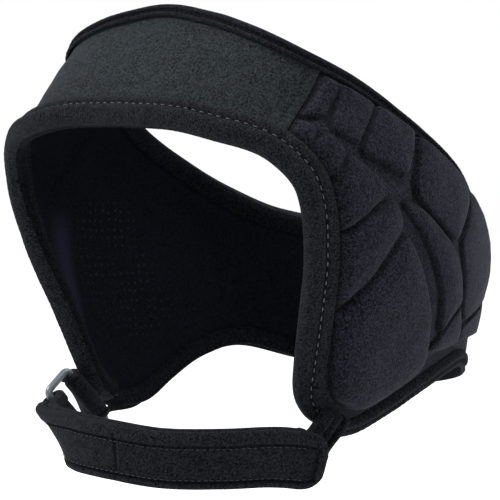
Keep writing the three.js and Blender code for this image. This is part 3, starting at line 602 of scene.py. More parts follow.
def lining_material():
    """Dark smooth lining with rows of tiny pinholes over the ears and, before them, a painted reflection:
    a faint purplish stripe.
    """
    material = cloth("lining_cloth", (0.0019, 0.0021, 0.0034), 0.8, 0.35, sheen=0.0, rough=0.75, fuzz=0.8,
                     gloss=0.01)
    tree = material.node_tree
    shader = tree.nodes["Principled BSDF"]
    where = new_node(tree, "ShaderNodeAttribute", attribute_name="flat").outputs["Vector"]
    voronoi = new_node(tree, "ShaderNodeTexVoronoi", Scale=0.24, Randomness=0.35)
    voronoi.voronoi_dimensions = "2D"
    tree.links.new(where, voronoi.inputs["Vector"])
    axes = new_node(tree, "ShaderNodeSeparateXYZ")
    tree.links.new(where, axes.inputs[0])
    dot = spread(tree, voronoi.outputs["Distance"], 0.10, 0.2, 1.0, 0.0)
    dot = math_node(tree, "MULTIPLY", dot, axes.outputs["Z"], clamp=True)
    uneven = noise(tree, where, 0.07, 2.0, 0.6)
    dot = math_node(tree, "MULTIPLY", dot, spread(tree, uneven, 0.35, 0.6, 0.0, 1.0), clamp=True)
    plain = shader.inputs["Base Color"].links[0].from_socket
    dotted = blended(tree, dot, plain, (0.0062, 0.0068, 0.009))
    # Painted reflection: a faint purplish upright stripe blended into the lining's colour.
    lean = math_node(tree, "MULTIPLY", axes.outputs["Y"], -REFLECTION_LEAN)
    off = math_node(tree, "ADD", math_node(tree, "ADD", axes.outputs["X"], lean), -REFLECTION_AT)
    off = math_node(tree, "ABSOLUTE", off)
    rise = math_node(tree, "ABSOLUTE", math_node(tree, "ADD", axes.outputs["Y"], 2.0))
    reflection_mask = math_node(tree, "MULTIPLY", spread(tree, off, 2.0, REFLECTION_WIDE, 0.8, 0.0),
                     spread(tree, rise, 16.0, 30.0, 1.0, 0.0), clamp=True)
    reflected = blended(tree, reflection_mask, dotted, (0.0062, 0.0058, 0.0125))
    tree.links.new(reflected, shader.inputs["Base Color"])
    return material


def plain_material(name, colour, mottle, shades, grain, relief, rough, gloss):
    """Mottled colour and fine relief, from two noises that are given as scale and detail."""
    material, tree, shader = node_material(name)
    where = new_node(tree, "ShaderNodeTexCoord").outputs["Object"]
    shade = spread(tree, noise(tree, where, *mottle), 0.3, 0.7, *shades)
    tree.links.new(scaled_colour(tree, colour, shade), shader.inputs["Base Color"])
    fill(shader, Roughness=rough, Specular_IOR_Level=gloss)
    bump(tree, shader, [(noise(tree, where, *grain), *relief)])
    return material


def thread_material(name, colour):
    twist = (3200.0, 1.0)
    return plain_material(name, colour, twist, (0.75, 1.25), twist, (0.00006, 0.8), 0.8, 0.1)


PANEL = cloth("panel_cloth", (0.0078, 0.0098, 0.0110), 0.85, 0.55, rib=0.25, rib_period=0.9, sheen=0.03)
PAD = cloth("pad_cloth", (0.0050, 0.0050, 0.0082), 0.85, 0.9, rib=0.15, rib_period=1.2, sheen=0.04,
            fuzz=1.6, uses_painted_shade=True)
BINDING = cloth("binding_cloth", (0.0054, 0.0058, 0.0070), 0.8, 0.62, rib=0.85, rib_period=1.35,
                diagonal=0.7, sheen=0.015, gloss=0.018, uses_painted_shade=True)
# A darker copy of the binding cloth: painted shade for the rows inside the hollow.
BINDING_PAINTED_SHADE = cloth("binding_cloth_painted_shade", (0.0022, 0.0024, 0.0031), 0.85, 0.6, rib=0.85,
                      rib_period=1.35, diagonal=0.7, sheen=0.008, gloss=0.012, uses_painted_shade=True)
STRAP_PANEL = cloth("strap_cloth", (0.0046, 0.0050, 0.0062), 0.8, 0.6, rib=0.25, rib_period=1.0,
                    sheen=0.012, uses_painted_shade=True, gloss=0.015)
INSIDE = lining_material()
PLASTIC = plain_material("ring_plastic", (0.042, 0.05, 0.06), (260.0, 3.0), (0.9, 1.08),
                         (2400.0, 2.0), (0.00003, 0.6), 0.38, 0.5)
THREAD = thread_material("light_thread", (0.05, 0.054, 0.058))
DIM_THREAD = thread_material("dim_thread", (0.016, 0.017, 0.019))
DARK_THREAD = thread_material("dark_thread", (0.003, 0.003, 0.004))


# Panels and pads

def mirrored_chart(chart):
    return np.stack([-chart[:, 0], chart[:, 1]], 1)


def round_back(left):
    """A left-hand line of turns and heights carried on round the back to the right."""
    right = mirrored_chart(left)[-2::-1]
    right[:, 0] += 360
    return np.concatenate([left, right])


def front_border(rows, spare):
    """Border of an ear pad's front: up the face edge and on up the seam."""
    cheek = np.array(face_spot(np.linspace(FACE_RUN, SEAM_RUN + spare, rows))).T
    top = np.array([[SEAM_TOP + math.degrees(spare / HALF_WIDTH), 0]])
    top[0, 1] = rim_z(top[0, 0])
    seam_rows = int(rows * SEAM_SHARE)
    seam = cheek[-1] + (top - cheek[-1]) * (np.arange(1, seam_rows + 1) / seam_rows)[:, None]
    return np.concatenate([cheek, seam])


def ear_chart(cols, rows, spare=GAP / 2):
    """Grid of turns and heights of the left ear pad, blended between its four sides."""
    front = front_border(rows, spare)
    v = np.linspace(0, 1, len(front))
    u = np.linspace(0, 1, cols)
    low = np.array(lower_spot((NAPE_RUN - spare) * u)).T
    high_turn = front[-1, 0] + (low[-1, 0] - front[-1, 0]) * u
    high = np.stack([high_turn, rim_z(high_turn)], 1)
    back = low[-1] + (high[-1] - low[-1]) * v[:, None]
    U, V = u[:, None, None], v[None, :, None]
    return ((1 - U) * front[None] + U * back[None] + (1 - V) * low[:, None] + V * high[:, None]
            - (1 - V) * ((1 - U) * low[0] + U * low[-1]) - V * ((1 - U) * high[0] + U * high[-1]))


def dense(spot, length, count=240):
    turn, z = spot(np.linspace(0, length, count))
    return bare(turn, z)


def rim_line(low, high, count=240):
    turn = np.linspace(low, high, count)
    return bare(turn, rim_z(turn))


FACE_LINE = dense(face_spot, FACE_RUN)
LOWER_LINE = dense(lower_spot, LOWER_RUN)
SEAM_ENDS = np.array([[SEAM_LOW, float(face_spot(SEAM_RUN)[1])], [SEAM_TOP, float(rim_z(SEAM_TOP))]])
SEAM_CHART = SEAM_ENDS[0] + (SEAM_ENDS[1] - SEAM_ENDS[0]) * np.linspace(0, 1, 40)[:, None]
SEAM_LINE = surface(SEAM_CHART)
BACK_LOW_Z = float(lower_spot(NAPE_RUN)[1])
BACK_Z = np.linspace(BACK_LOW_Z, float(rim_z(NAPE_SEAM)), 60)
BACK_LINE = bare(np.full(60, NAPE_SEAM), BACK_Z)


def border_distance(points):
    """Distance from the bindings and seams round an ear pad, in millimetres."""
    return np.minimum.reduce([
        line_distance(points, FACE_LINE) - FACE_LEG,
        line_distance(points, LOWER_LINE) - LOWER_LEG,
        line_distance(points, rim_line(40, 180)) - RIM_LEG,
        line_distance(points, SEAM_LINE) - GAP,
        line_distance(points, BACK_LINE) - GAP,
    ]) - CUSHION_MARGIN


def cushion_ring(share, corners):
    """A cushion's rounded outline, run on under the binding or seam where it lies beside one."""
    chart = np.stack([corners[:, 0], height(corners[:, 1])], 1)
    middle = chart.mean(0)
    aside = (chart - middle) * (HALF_WIDTH * math.pi / 180, 1)
    near = smooth(5.5, 4.5, border_distance(surface(chart)))
    stretch = 1 + RUN_UNDER * near / np.linalg.norm(aside, axis=1)
    chart = middle + (chart - middle) * stretch[:, None]
    return rounded(chart, 1.0 + 1.6 * share, CORNER_BEND)


def pad_depth(turn, z, points):
    """Depth of a pad's outside: foam in the channels, cushions rising with rounded shoulders, and painted
    shade in the creases.
    """
    flat_turn, flat_z = turn.ravel(), z.ravel()
    flat_points = points.reshape(-1, 3)
    borders = border_distance(flat_points)
    floor = CHANNEL_LIFT * smooth(0, 13, borders)
    rise = np.zeros(len(flat_turn))
    painted_shade = np.zeros(len(flat_turn))
    for share, corners in CUSHIONS.values():
        ring = cushion_ring(share, np.array(corners))
        line = np.concatenate([ring, ring[:1]])
        far = line_distance(flat_points, surface(line))
        signed = np.where(inside(flat_turn, flat_z, ring), far, -far) + CUSHION_SPREAD
        top = (share * (CUSHION_WALL + CUSHION_CROWN) - floor) * smooth(-1.5, 3, borders)
        wall = 0.62 * smooth(-0.8, 0.9, signed) + 0.38 * (1 - np.exp(-np.maximum(signed, 0) / 4.5))
        rise = np.maximum(rise, np.maximum(top, LEAST_RISE) * wall)
        # Painted shade along each cushion's edge, where the channel creases.
        painted_shade = np.maximum(painted_shade, (0.5 + 0.5 * share) * np.exp(-((signed + 0.3) / 0.7) ** 2))
    groove = np.stack([GROOVE[:, 0], height(GROOVE[:, 1])], 1)
    groove = resample(groove, runs(surface(groove)), 4.0)
    away = line_distance(flat_points, surface(groove))
    rise *= 1 - 0.35 * np.exp(-(away / 6.5) ** 2)
    soft = 0.22 * ripple(flat_points, 26, 3) + 0.07 * ripple(flat_points, 8, 4)
    pinch = -0.5 * np.exp(-np.maximum(borders + 2, 0) / 2.5)
    depth = PANEL_OUT + floor + rise + soft * smooth(0, 4, borders) + pinch
    # Painted shade also along the bindings and seams round the pad's border.
    return depth.reshape(turn.shape), np.maximum(painted_shade, np.exp(-((borders + 0.6) / 0.9) ** 2))


def panel_piece(name, turn, z, depth, material, node, side=1, painted_shade=None):
    """A closed panel over a grid of the form, on the left or mirrored to the right."""
    outer = place(turn, z, depth)
    inner = place(turn, z, np.full(turn.shape, PANEL_IN))
    outer[..., 0] *= side
    inner[..., 0] *= side
    verts, faces = closed_sheet(outer, inner)
    if side > 0:
        faces = faces[:, ::-1]
    # The flat attribute's third value carries painted shade for the creases to the material.
    marks = np.zeros(turn.size) if painted_shade is None else painted_shade
    flat = np.stack([np.radians(turn.ravel()) * HALF_WIDTH, z.ravel(), marks], -1)
    return make(name, verts, faces, material, [node], np.concatenate([flat, flat]))


def up_to_rim(low, high_turn):
    """Grid of turns and heights from a lower line straight up to the rim."""
    high = np.stack([high_turn, rim_z(np.where(high_turn > 180, 360 - high_turn, high_turn))], 1)
    share = np.linspace(0, 1, PANEL_ROWS)[None, :, None]
    chart = low[:, None] + (high - low)[:, None] * share
    return chart[..., 0], chart[..., 1]


def both_sides(points, line):
    """Distance from a left-hand line or from its mirror image, whichever is nearer."""
    return np.minimum(line_distance(points, line), line_distance(points, line * (-1, 1, 1)))


def ear_pad(name, side, node):
    chart = ear_chart(PAD_COLS, PAD_ROWS)
    turn, z = chart[..., 0], chart[..., 1]
    depth, painted_shade = pad_depth(turn, z, bare(turn, z))
    piece = panel_piece(name, turn, z, depth, PAD, node, side, painted_shade)
    return piece


def forehead():
    across = np.linspace(-(SEAM_RUN - GAP / 2), SEAM_RUN - GAP / 2, PANEL_COLS)
    low_turn, low_z = face_spot(np.abs(across))
    low_turn = low_turn * np.sign(across)
    turn, z = up_to_rim(np.stack([low_turn, low_z], 1), low_turn * SEAM_TOP / SEAM_LOW)
    points = bare(turn, z).reshape(-1, 3)
    seam = both_sides(points, SEAM_LINE)
    face = np.concatenate([FACE_LINE[::-1] * (-1, 1, 1), FACE_LINE])
    edges = np.minimum(line_distance(points, face) - FACE_LEG,
                       line_distance(points, rim_line(-75, 75)) - RIM_LEG)
    hem = 0.7 * smooth(HEM_WIDTH + 0.2, HEM_WIDTH - 0.5, seam) * smooth(-0.1, 0.8, seam)
    groove = -0.35 * np.exp(-((seam - HEM_WIDTH) / 0.5) ** 2)
    puff = 1.1 * smooth(-1, 12, edges) * smooth(4, 16, seam)
    soft = 0.16 * ripple(points, 40, 11) + 0.05 * ripple(points, 12, 12)
    depth = (PANEL_OUT + hem + groove + puff + soft).reshape(turn.shape)
    piece = panel_piece("forehead_cover", turn, z, depth, PANEL, "forehead_panel")
    return piece


def nape():
    run = np.linspace(NAPE_RUN + GAP / 2, LOWER_RUN, PANEL_ROWS)
    low = round_back(np.stack(lower_spot(run), 1))
    turn, z = up_to_rim(low, low[:, 0])
    points = bare(turn, z).reshape(-1, 3)
    puff = 1.2 * smooth(0.5, 10, both_sides(points, BACK_LINE))
    soft = 0.3 * ripple(points, 34, 21) + 0.06 * ripple(points, 10, 22)
    depth = (PANEL_OUT + puff + soft).reshape(turn.shape)
    piece = panel_piece("nape_cover", turn, z, depth, PANEL, "nape_panel")
    return piece


# Lining

def lining_relief(points, left_points, rim, edge):
    """How far the lining stands in from its plain surface: stitched welts, folds and a hollow."""
    t0, z0, t1, z1 = LINING_SEAM
    seam = line_distance(left_points, bare(np.linspace(t0, t1, 30), np.linspace(z0, z1, 30)))
    back = line_distance(left_points, BACK_LINE)
    welt = 0.5 * np.exp(-((rim - 9.4) / 0.9) ** 2) + 0.4 * np.exp(-((edge - 9.6) / 0.9) ** 2)
    welt += 0.9 * np.exp(-(seam / 0.9) ** 2) - 0.5 * np.exp(-((seam - 2.2) / 0.7) ** 2)
    welt += 0.4 * np.exp(-(back / 0.9) ** 2)
    folds = 0
    for t0, z0, t1, z1, depth, width in LINING_FOLDS:
        path = bare(np.linspace(t0, t1, 20), np.linspace(z0, z1, 20))
        folds += depth * np.exp(-(line_distance(left_points, path) / width) ** 2)
    hollow = smooth(26, 8, line_distance(left_points, surface(EAR_HOLLOW)))
    calm = smooth(0, 6, np.minimum(rim, edge))
    lift = (welt + folds * calm + 0.35 * ripple(points, 30, 31) * calm
            + 0.1 * ripple(points, 9, 32) * calm - 0.5 * hollow)
    return np.clip(lift, -0.6, 2.2)


def lining():
    """Inner cloth right round the hollow, with stitched lines beside the seams and soft folds."""
    turns = np.linspace(0, 360, LINING_COLS)[:-1]
    folded = np.where(turns > 180, 360 - turns, turns)
    face_turn, face_z = face_spot(np.linspace(0, FACE_RUN, LINING_SAMPLES))
    lower_turn, lower_z = lower_spot(np.linspace(0, LOWER_RUN, LINING_SAMPLES))
    low = np.where(folded < FACE_EDGE[-1, 0], np.interp(folded, face_turn, face_z),
                   np.interp(folded, lower_turn, lower_z))
    z = low[:, None] + (rim_z(folded) - low)[:, None] * np.linspace(0, 1, LINING_ROWS)[None]
    turn = np.repeat(turns[:, None], LINING_ROWS, 1)
    points = bare(turn, z).reshape(-1, 3)
    left_points = points * np.where(points[:, :1] < 0, (-1, 1, 1), (1, 1, 1))
    rim = line_distance(left_points, rim_line(0, 180))
    edge = np.minimum(line_distance(left_points, FACE_LINE), line_distance(left_points, LOWER_LINE))
    lift = lining_relief(points, left_points, rim, edge)
    inner = place(turn, z, -lift.reshape(turn.shape))
    outer = place(turn, z, np.full(turn.shape, LINING))
    count = turn.size
    front_faces = grid_faces(*turn.shape, True)
    index = np.arange(count).reshape(turn.shape)
    ends = []
    for border, flip in ((index[:, 0], False), (index[:, -1], True)):
        after = np.roll(border, -1)
        side = np.stack([border, after, after + count, border + count], 1)
        ends.append(side[:, ::-1] if flip else side)
    zone = smooth(30, 12, line_distance(left_points, surface(PINHOLES)))
    across = np.radians(np.repeat(folded, LINING_ROWS)) * HALF_WIDTH
    flat = np.stack([across, z.ravel(), zone], 1)
    make("lining_cloth", np.concatenate([inner.reshape(-1, 3), outer.reshape(-1, 3)]),
         np.concatenate([front_faces, front_faces[:, ::-1] + count, *ends]), INSIDE,
         ["lining"], np.concatenate([flat, flat]))


# Bindings

def along_of(points, closed):
    if closed:
        step = np.roll(points, -1, 0) - np.roll(points, 1, 0)
    else:
        step = np.gradient(points, axis=0)
    return step / np.linalg.norm(step, axis=1, keepdims=True)


def bound_section(leg, roll):
    """Corners of a binding's section: how far past the foam's edge, depth, and puckering."""
    hem = EASE + TAPE
    middle = PANEL_OUT / 2
    stitch = leg * STITCH_PLACE
    rows = [
        (-leg + 0.05, LEG_IN + 0.1, 0.2),
        (-leg, LEG_OUT - 0.5, 0.3),
        (-leg + 0.3, LEG_OUT + 0.1, 0.4),
        ((stitch - leg) * 0.5 - 0.2, LEG_OUT + 0.45, 0.6),
        (stitch - 0.9, LEG_OUT + 0.2, 0.8),
        (stitch, LEG_OUT - 0.5, 1),
        (stitch + 0.9, LEG_OUT + 0.25, 0.9),
        (stitch * 0.7, LEG_OUT + roll * 0.8, 0.7),
        (stitch * 0.45, LEG_OUT + roll, 0.5),
        (stitch * 0.2, LEG_OUT + roll * 0.95, 0.3),
        (0, LEG_OUT + roll * 0.55, 0.25),
        (hem * 0.62, middle + PANEL_OUT * 0.62, 0.2),
        (hem + 0.05, middle + PANEL_OUT * 0.34, 0.2),
        (hem + 0.2, middle, 0.2),
        (hem + 0.05, middle - PANEL_OUT * 0.34, 0.2),
        (hem * 0.62, -EASE * 0.7, 0.2),
        (0.1, -EASE - TAPE * 0.95, 0.3),
        (-INNER_LEG * 0.35, -EASE - TAPE - 0.15, 0.4),
        (-INNER_LEG * 0.66, -EASE - TAPE + 0.05, 0.7),
        (INNER_LEG * INNER_STITCH_PLACE, -EASE - TAPE * 0.6, 1),
        (-INNER_LEG * 0.84, -EASE - TAPE * 0.95, 0.7),
        (-INNER_LEG, -EASE - TAPE * 0.6, 0.2),
        (-INNER_LEG, -EASE, 0),
        (-INNER_LEG * 0.5, -EASE, 0),
        (EASE, -EASE, 0),
        (EASE, LEG_IN, 0),
        (-leg * 0.5, LEG_IN, 0),
    ]
    return np.array(rows)


def bound_edge(name, node, chart, closed, legs, roll, seed):
    """Binding along an edge. Returns points and normals of its outer and its inner stitch line."""
    base = surface(chart)
    out = -np.cross(along_of(base, closed), normal(chart[:, 0], chart[:, 1]))
    out /= np.linalg.norm(out, axis=1, keepdims=True)
    run = runs(base)
    rings, flats = [], []
    sections = np.stack([bound_section(leg, roll) for leg in legs])
    size = sections.shape[1]
    for k in range(size):
        depth, slack = sections[0, k, 1:]
        spot = base + out * sections[:, k, :1]
        wave = 0.13 * np.sin(run * 2 * math.pi / PUCKER_PERIOD + 0.5 * np.sin(run / 17))
        pucker = slack * (wave + 0.16 * ripple(spot, 7, seed) + 0.2 * ripple(spot, 22, seed + 1))
        rings.append(place(*chart_of(spot), depth + math.copysign(1, depth) * pucker))
        # Painted shade in the stitch dents, from the section's puckering share, goes to the flat
        # attribute's third value.
        marks = np.array([k * 1.15, smooth(0.85, 1, slack)])
        flats.append(np.column_stack([run, np.tile(marks, (len(run), 1))]))
    verts, faces = swept(np.stack(rings, 1), closed)
    faces = outwards(verts, faces)
    rows = [np.array(face) % size for face in faces]
    # Rows facing the hollow take the darker copy of the binding cloth: painted shade.
    shaded = [int(row.min() >= HOLLOW_SHADE_ROWS[0] and row.max() <= HOLLOW_SHADE_ROWS[1]) for row in rows]
    make(name, verts, faces, [BINDING, BINDING_PAINTED_SHADE], [node],
         np.stack(flats, 1).reshape(-1, 3), shaded)
    t, h = chart_of(base + out * (legs * STITCH_PLACE)[:, None])
    outer = (place(t, h, np.full(len(t), LEG_OUT - 0.12)), normal(t, h))
    t, h = chart_of(base + out * (INNER_LEG * INNER_STITCH_PLACE))
    inner = (place(t, h, np.full(len(t), -EASE - TAPE * 0.75)), -normal(t, h))
    return outer, inner


def stitches(name, line, ups, sewing, material, slot, lean=0.0):
    """A row of sewn stitches as small threads lying along a line."""
    pitch, length, thick = sewing
    run = runs(line)
    starts = np.arange(pitch / 2, run[-1] - pitch / 2, pitch)
    share, fat = STITCH_FORM.T[..., None]
    angle = np.linspace(0, 2 * math.pi, STITCH_SIDES + 1)[:-1]
    rise = 0.35 * thick * (1 - (share * 2) ** 2) + thick / 2 * fat * np.sin(angle)
    aside = thick / 2 * fat * np.cos(angle)
    verts, faces = [], []
    rng = np.random.default_rng(len(starts))
    for start in starts:
        start += rng.uniform(-0.06, 0.06) * pitch
        centre = np.array([np.interp(start, run, line[:, k]) for k in range(3)])
        ahead = np.array([np.interp(start + 0.6, run, line[:, k]) for k in range(3)])
        up = np.array([np.interp(start, run, ups[:, k]) for k in range(3)])
        up /= np.linalg.norm(up)
        along = ahead - centre
        along -= up * np.dot(along, up)
        along /= np.linalg.norm(along)
        across = np.cross(up, along)
        if lean:
            along, across = along + across * lean, across - along * lean
            along /= np.linalg.norm(along)
            across /= np.linalg.norm(across)
        thread = (centre + along * (share * length)[..., None] + up * rise[..., None]
                  + across * aside[..., None])
        points, sides = swept(thread, False)
        faces += [[len(verts) + corner for corner in face] for face in sides]
        verts.extend(points)
    return make(name, verts, faces, material)


def even(chart, step, closed=False):
    """Chart line resampled to an even step along the surface."""
    if closed:
        chart = np.concatenate([chart, chart[:1]])
    key = runs(surface(chart))
    count = int(round(key[-1] / step))
    at = np.linspace(0, key[-1], count + 1)
    line = np.stack([np.interp(at, key, chart[:, 0]), np.interp(at, key, chart[:, 1])], 1)
    return line[:-1] if closed else line


def bindings():
    left = np.stack(face_spot(np.linspace(0, FACE_RUN, BINDING_SAMPLES)), 1)
    face = even(np.concatenate([mirrored_chart(left)[:0:-1], left])[::-1], BINDING_STEP)
    key = runs(surface(face))
    tip = np.minimum(key, key[-1] - key)
    legs = LOWER_LEG + (FACE_LEG - LOWER_LEG) * smooth(0, LEG_EASING, tip)
    face_rows = bound_edge("face_roll", "face_binding", face, False, legs, FACE_ROLL, 41)
    left = np.stack(lower_spot(np.linspace(0, LOWER_RUN, BINDING_SAMPLES)), 1)
    lower = even(round_back(left), BINDING_STEP)
    legs = np.full(len(lower), LOWER_LEG)
    lower_rows = bound_edge("lower_roll", "lower_binding", lower, False, legs, PUFF, 51)
    turn = np.linspace(0, 180, BINDING_SAMPLES)
    rim = even(round_back(np.stack([turn, rim_z(turn)], 1))[:-1], BINDING_STEP, True)
    legs = np.full(len(rim), RIM_LEG)
    rim_rows = bound_edge("crown_roll", "crown_binding", rim, True, legs, PUFF, 61)
    for label, rows, sewing, thread in (("face", face_rows, SHOWN_SEWING, THREAD),
                                        ("lower", lower_rows, EDGE_SEWING, DARK_THREAD),
                                        ("crown", rim_rows, EDGE_SEWING, DARK_THREAD)):
        stitches(f"{label}_stitches", *rows[0], sewing, thread, "binding_cloth")
        stitches(f"{label}_stitches_inside", *rows[1], INSIDE_SEWING, DARK_THREAD, "binding_cloth")


def seam_stitches(side, label):
    """Slanted stitches along the hem in front of a forehead seam."""
    chart = SEAM_ENDS[0] + (SEAM_ENDS[1] - SEAM_ENDS[0]) * np.linspace(0.3, 0.86, 30)[:, None]
    base = surface(chart)
    across = np.cross(along_of(base, False), normal(chart[:, 0], chart[:, 1]))
    turn, z = chart_of(base - across * HEM_WIDTH)
    line = place(turn, z, np.full(len(turn), PANEL_OUT + 0.6)) * (side, 1, 1)
    ups = normal(turn, z) * (side, 1, 1)
    stitches(f"seam_stitches_{label}", line, ups, SEAM_SEWING, DARK_THREAD, "panel_cloth", lean=0.7)


# Chin strap, ring and tab

UP = np.array([0.0, 0.0, 1.0])


def unit(vector):
    return vector / np.linalg.norm(vector, axis=-1, keepdims=True)


JAW_TIP = bare(FACE_EDGE[-1, 0], FACE_Z[-1])


def bow_points(rows):
    return np.stack([rows[..., 0] * (JAW_TIP[0] - STRAP_INSET), JAW_TIP[1] - rows[..., 1] * STRAP_REACH,
                     JAW_TIP[2] - rows[..., 2] * STRAP_HANG], -1)


BOW_RUNS = runs(bow_points(BOW))


def ring_frame():
    seat = bow_points(np.array(RING_SEAT))
    rise, splay, lean = (math.radians(v) for v in (RING_RISE, RING_SPLAY, RING_LEAN))
    back = np.array([-math.sin(splay) * math.cos(rise), math.cos(splay) * math.cos(rise), math.sin(rise)])
    inwards = np.array([math.cos(splay), math.sin(splay), 0])
    wide = -UP * math.cos(lean) + inwards * math.sin(lean)
    wide = unit(wide - back * np.dot(wide, back))
    out = unit(np.cross(back, wide))
    return {"strap_bar": seat, "tab_bar": seat + back * RING_SHORT, "wide": wide, "back": back,
            "out": out}


def bow_layer(first, last, count, outer):
    run = np.linspace(BOW_RUNS[first], BOW_RUNS[last], count)
    rows, ahead, behind = (curves(BOW_RUNS, BOW, run + step) for step in (0, 1, -1))
    along = unit(bow_points(ahead) - bow_points(behind))
    inwards = unit(np.cross(along, UP))
    lean = np.radians(rows[:, 3])[:, None]
    wide = -UP * np.cos(lean) + inwards * np.sin(lean)
    face = unit(np.cross(along, wide))
    shift = (STRAP_CLOTH + GAP) * (1 + rows[:, 4]) if outer else np.zeros(count)
    share = smooth(BOW_RUNS[last - 2], BOW_RUNS[last], run)[:, None]
    wide = wide + (ring_frame()["wide"] - wide) * share
    return bow_points(rows[:, :3]) + face * shift[:, None], wide


def fold(bar, low, high, cloth_thick):
    """Half turn round a bar from the lower layer's end to the upper one's, with straight runs."""
    wide = ring_frame()["wide"]
    radius = RING_WIRE / 2 + GAP + cloth_thick / 2
    heading = bar - (low + high) / 2
    heading = unit(heading - wide * np.dot(heading, wide))
    facing = np.cross(heading, wide)
    if np.dot(facing, high - low) < 0:
        facing = -facing
    angle = np.r_[0, np.linspace(0, math.pi, FOLD_STEPS), math.pi]
    ahead = radius * np.sin(angle)
    ahead[0] = ahead[-1] = -FOLD_RUN
    middle = bar - facing * radius * np.cos(angle)[:, None] + heading * ahead[:, None]
    return middle, np.repeat(wide[None], FOLD_STEPS + 2, 0)


def smooth_path(middle, wide, width, at):
    """A path's middle line, width direction and half width at runs along it."""
    key = runs(middle)
    return at, curves(key, middle, at), curves(key, wide, at), through(key, width, at) / 2


def strap_path():
    """The whole strap's path from its sewn end to its free end, and where its outer layer starts."""
    depth = LEG_OUT + PUFF + SEWN_LIFT / 2 + STRAP_CLOTH / 2
    turn, z, share = SEWN_END[:, 0], height(SEWN_END[:, 1]), SEWN_END[:, 2]
    sewn = place(turn, z, np.full(3, depth))
    sewn_wide = unit(place(turn + 1, z, np.full(3, depth)) - place(turn - 1, z, np.full(3, depth)))
    last = len(BOW) - 1
    inner, inner_wide = bow_layer(1, last, BOW_STEPS, False)
    outer, outer_wide = bow_layer(0, last, BOW_STEPS, True)
    turned, turned_wide = fold(ring_frame()["strap_bar"], inner[-1], outer[-1], STRAP_CLOTH)
    middle = np.concatenate([sewn, inner, turned, outer[::-1]])
    wide = np.concatenate([sewn_wide, inner_wide, turned_wide, outer_wide[::-1]])
    width = np.concatenate([share * STRAP_WIDTH, np.full(len(middle) - len(sewn), STRAP_WIDTH)])
    key = runs(middle)
    at = np.arange(0, key[-1] + 1e-6, STRAP_STEP)
    at = np.append(at, key[-1]) if key[-1] - at[-1] > 0.1 else at
    return smooth_path(middle, wide, width, at), key[len(middle) - BOW_STEPS]


def strap_marks(at, near, band, seams):
    """Dents of the seams across a strap, and painted shade for each place: in the band's groove and in
    the seams' creases.
    """
    dent = np.zeros_like(near)
    # Painted shade along the band's groove.
    line = np.exp(-((near - band) / 0.5) ** 2)
    for where, deep in seams:
        between = near > band * 0.5
        cut = np.exp(-((at - where) / 0.7) ** 2)[:, None] * between
        dent -= deep * cut
        dent += deep * 0.6 * np.exp(-((at - where - 1.9) / 1.1) ** 2)[:, None] * between
        line = np.maximum(line, cut)
    return dent, line


def ribbon(name, node, path, cloth_thick, bands, seed, end_round=0, seams=(), lift=0.9, gathers=0.0):
    """A flat strap with bound borders, laid along a path. Its last stretch can end in a round."""
    at, middle, wide, half = path
    along = along_of(middle, False)
    wide = unit(wide - along * (wide * along).sum(1, keepdims=True))
    thick = np.cross(along, wide)
    left = np.clip((at[-1] - at) / end_round, 0, 1) if end_round else np.ones(len(at))
    half = np.maximum(half * (1 - (1 - left) ** 2.6) ** (1 / 2.6), 0.35)
    u = np.linspace(-1, 1, STRAP_COLS)
    u = np.sign(u) * np.abs(u) ** 0.85
    across = u[None] * half[:, None]
    edge = half[:, None] * (1 - np.abs(u[None]))
    near = np.minimum(edge, (at[-1] - at)[:, None] * 0.92) if end_round else edge
    band = np.where(u[None] < 0, bands[0], bands[1])
    band = np.where(near < edge, bands[1] + 1.2, band)
    rounding = np.sqrt(np.clip(1 - (1 - np.clip(near / (cloth_thick * 0.62), 0, 1)) ** 2, 0, 1))
    raised = smooth(0.5, -0.5, near - band + 0.2) * lift
    groove = -0.75 * np.exp(-((near - band) / 0.55) ** 2)
    puck = np.sin(at * 2 * math.pi / 3.0)[:, None] * np.exp(-((near - band) / 1.6) ** 2) * 0.09
    body = 0.35 * (1 - np.abs(u[None]) ** 4)
    dent, line = strap_marks(at, near, band, seams)
    waves = 0.5 + 0.5 * np.sin(across * 2 * math.pi / GATHER_PERIOD + 0.6)
    folds = gathers * smooth(24, 4, at)[:, None] * waves
    base = middle[:, None] + wide[:, None] * across[..., None]
    wobble = 0.16 * ripple(base.reshape(-1, 3), 9, seed).reshape(across.shape)
    plain = cloth_thick / 2 + raised + groove + puck + body
    outer = base + thick[:, None] * (rounding * (plain + folds + wobble))[..., None]
    inner = base - thick[:, None] * (rounding * (plain + dent + 0.6 * wobble))[..., None]
    verts, faces = closed_sheet(outer, inner)
    faces = outwards(verts, faces.tolist())
    # The flat attribute's third value is the painted shade in the grooves and seams.
    flat = np.stack([np.repeat(at[:, None], STRAP_COLS, 1), across, line], -1).reshape(-1, 3)
    is_band = (near < band + 0.1)[:-1, :-1].ravel()
    sides = np.ones(len(faces) - 2 * is_band.size, int)
    make(name, verts, faces, [STRAP_PANEL, BINDING], [node], np.concatenate([flat, flat]),
         np.concatenate([is_band, is_band, sides]))
    return wide, thick, half


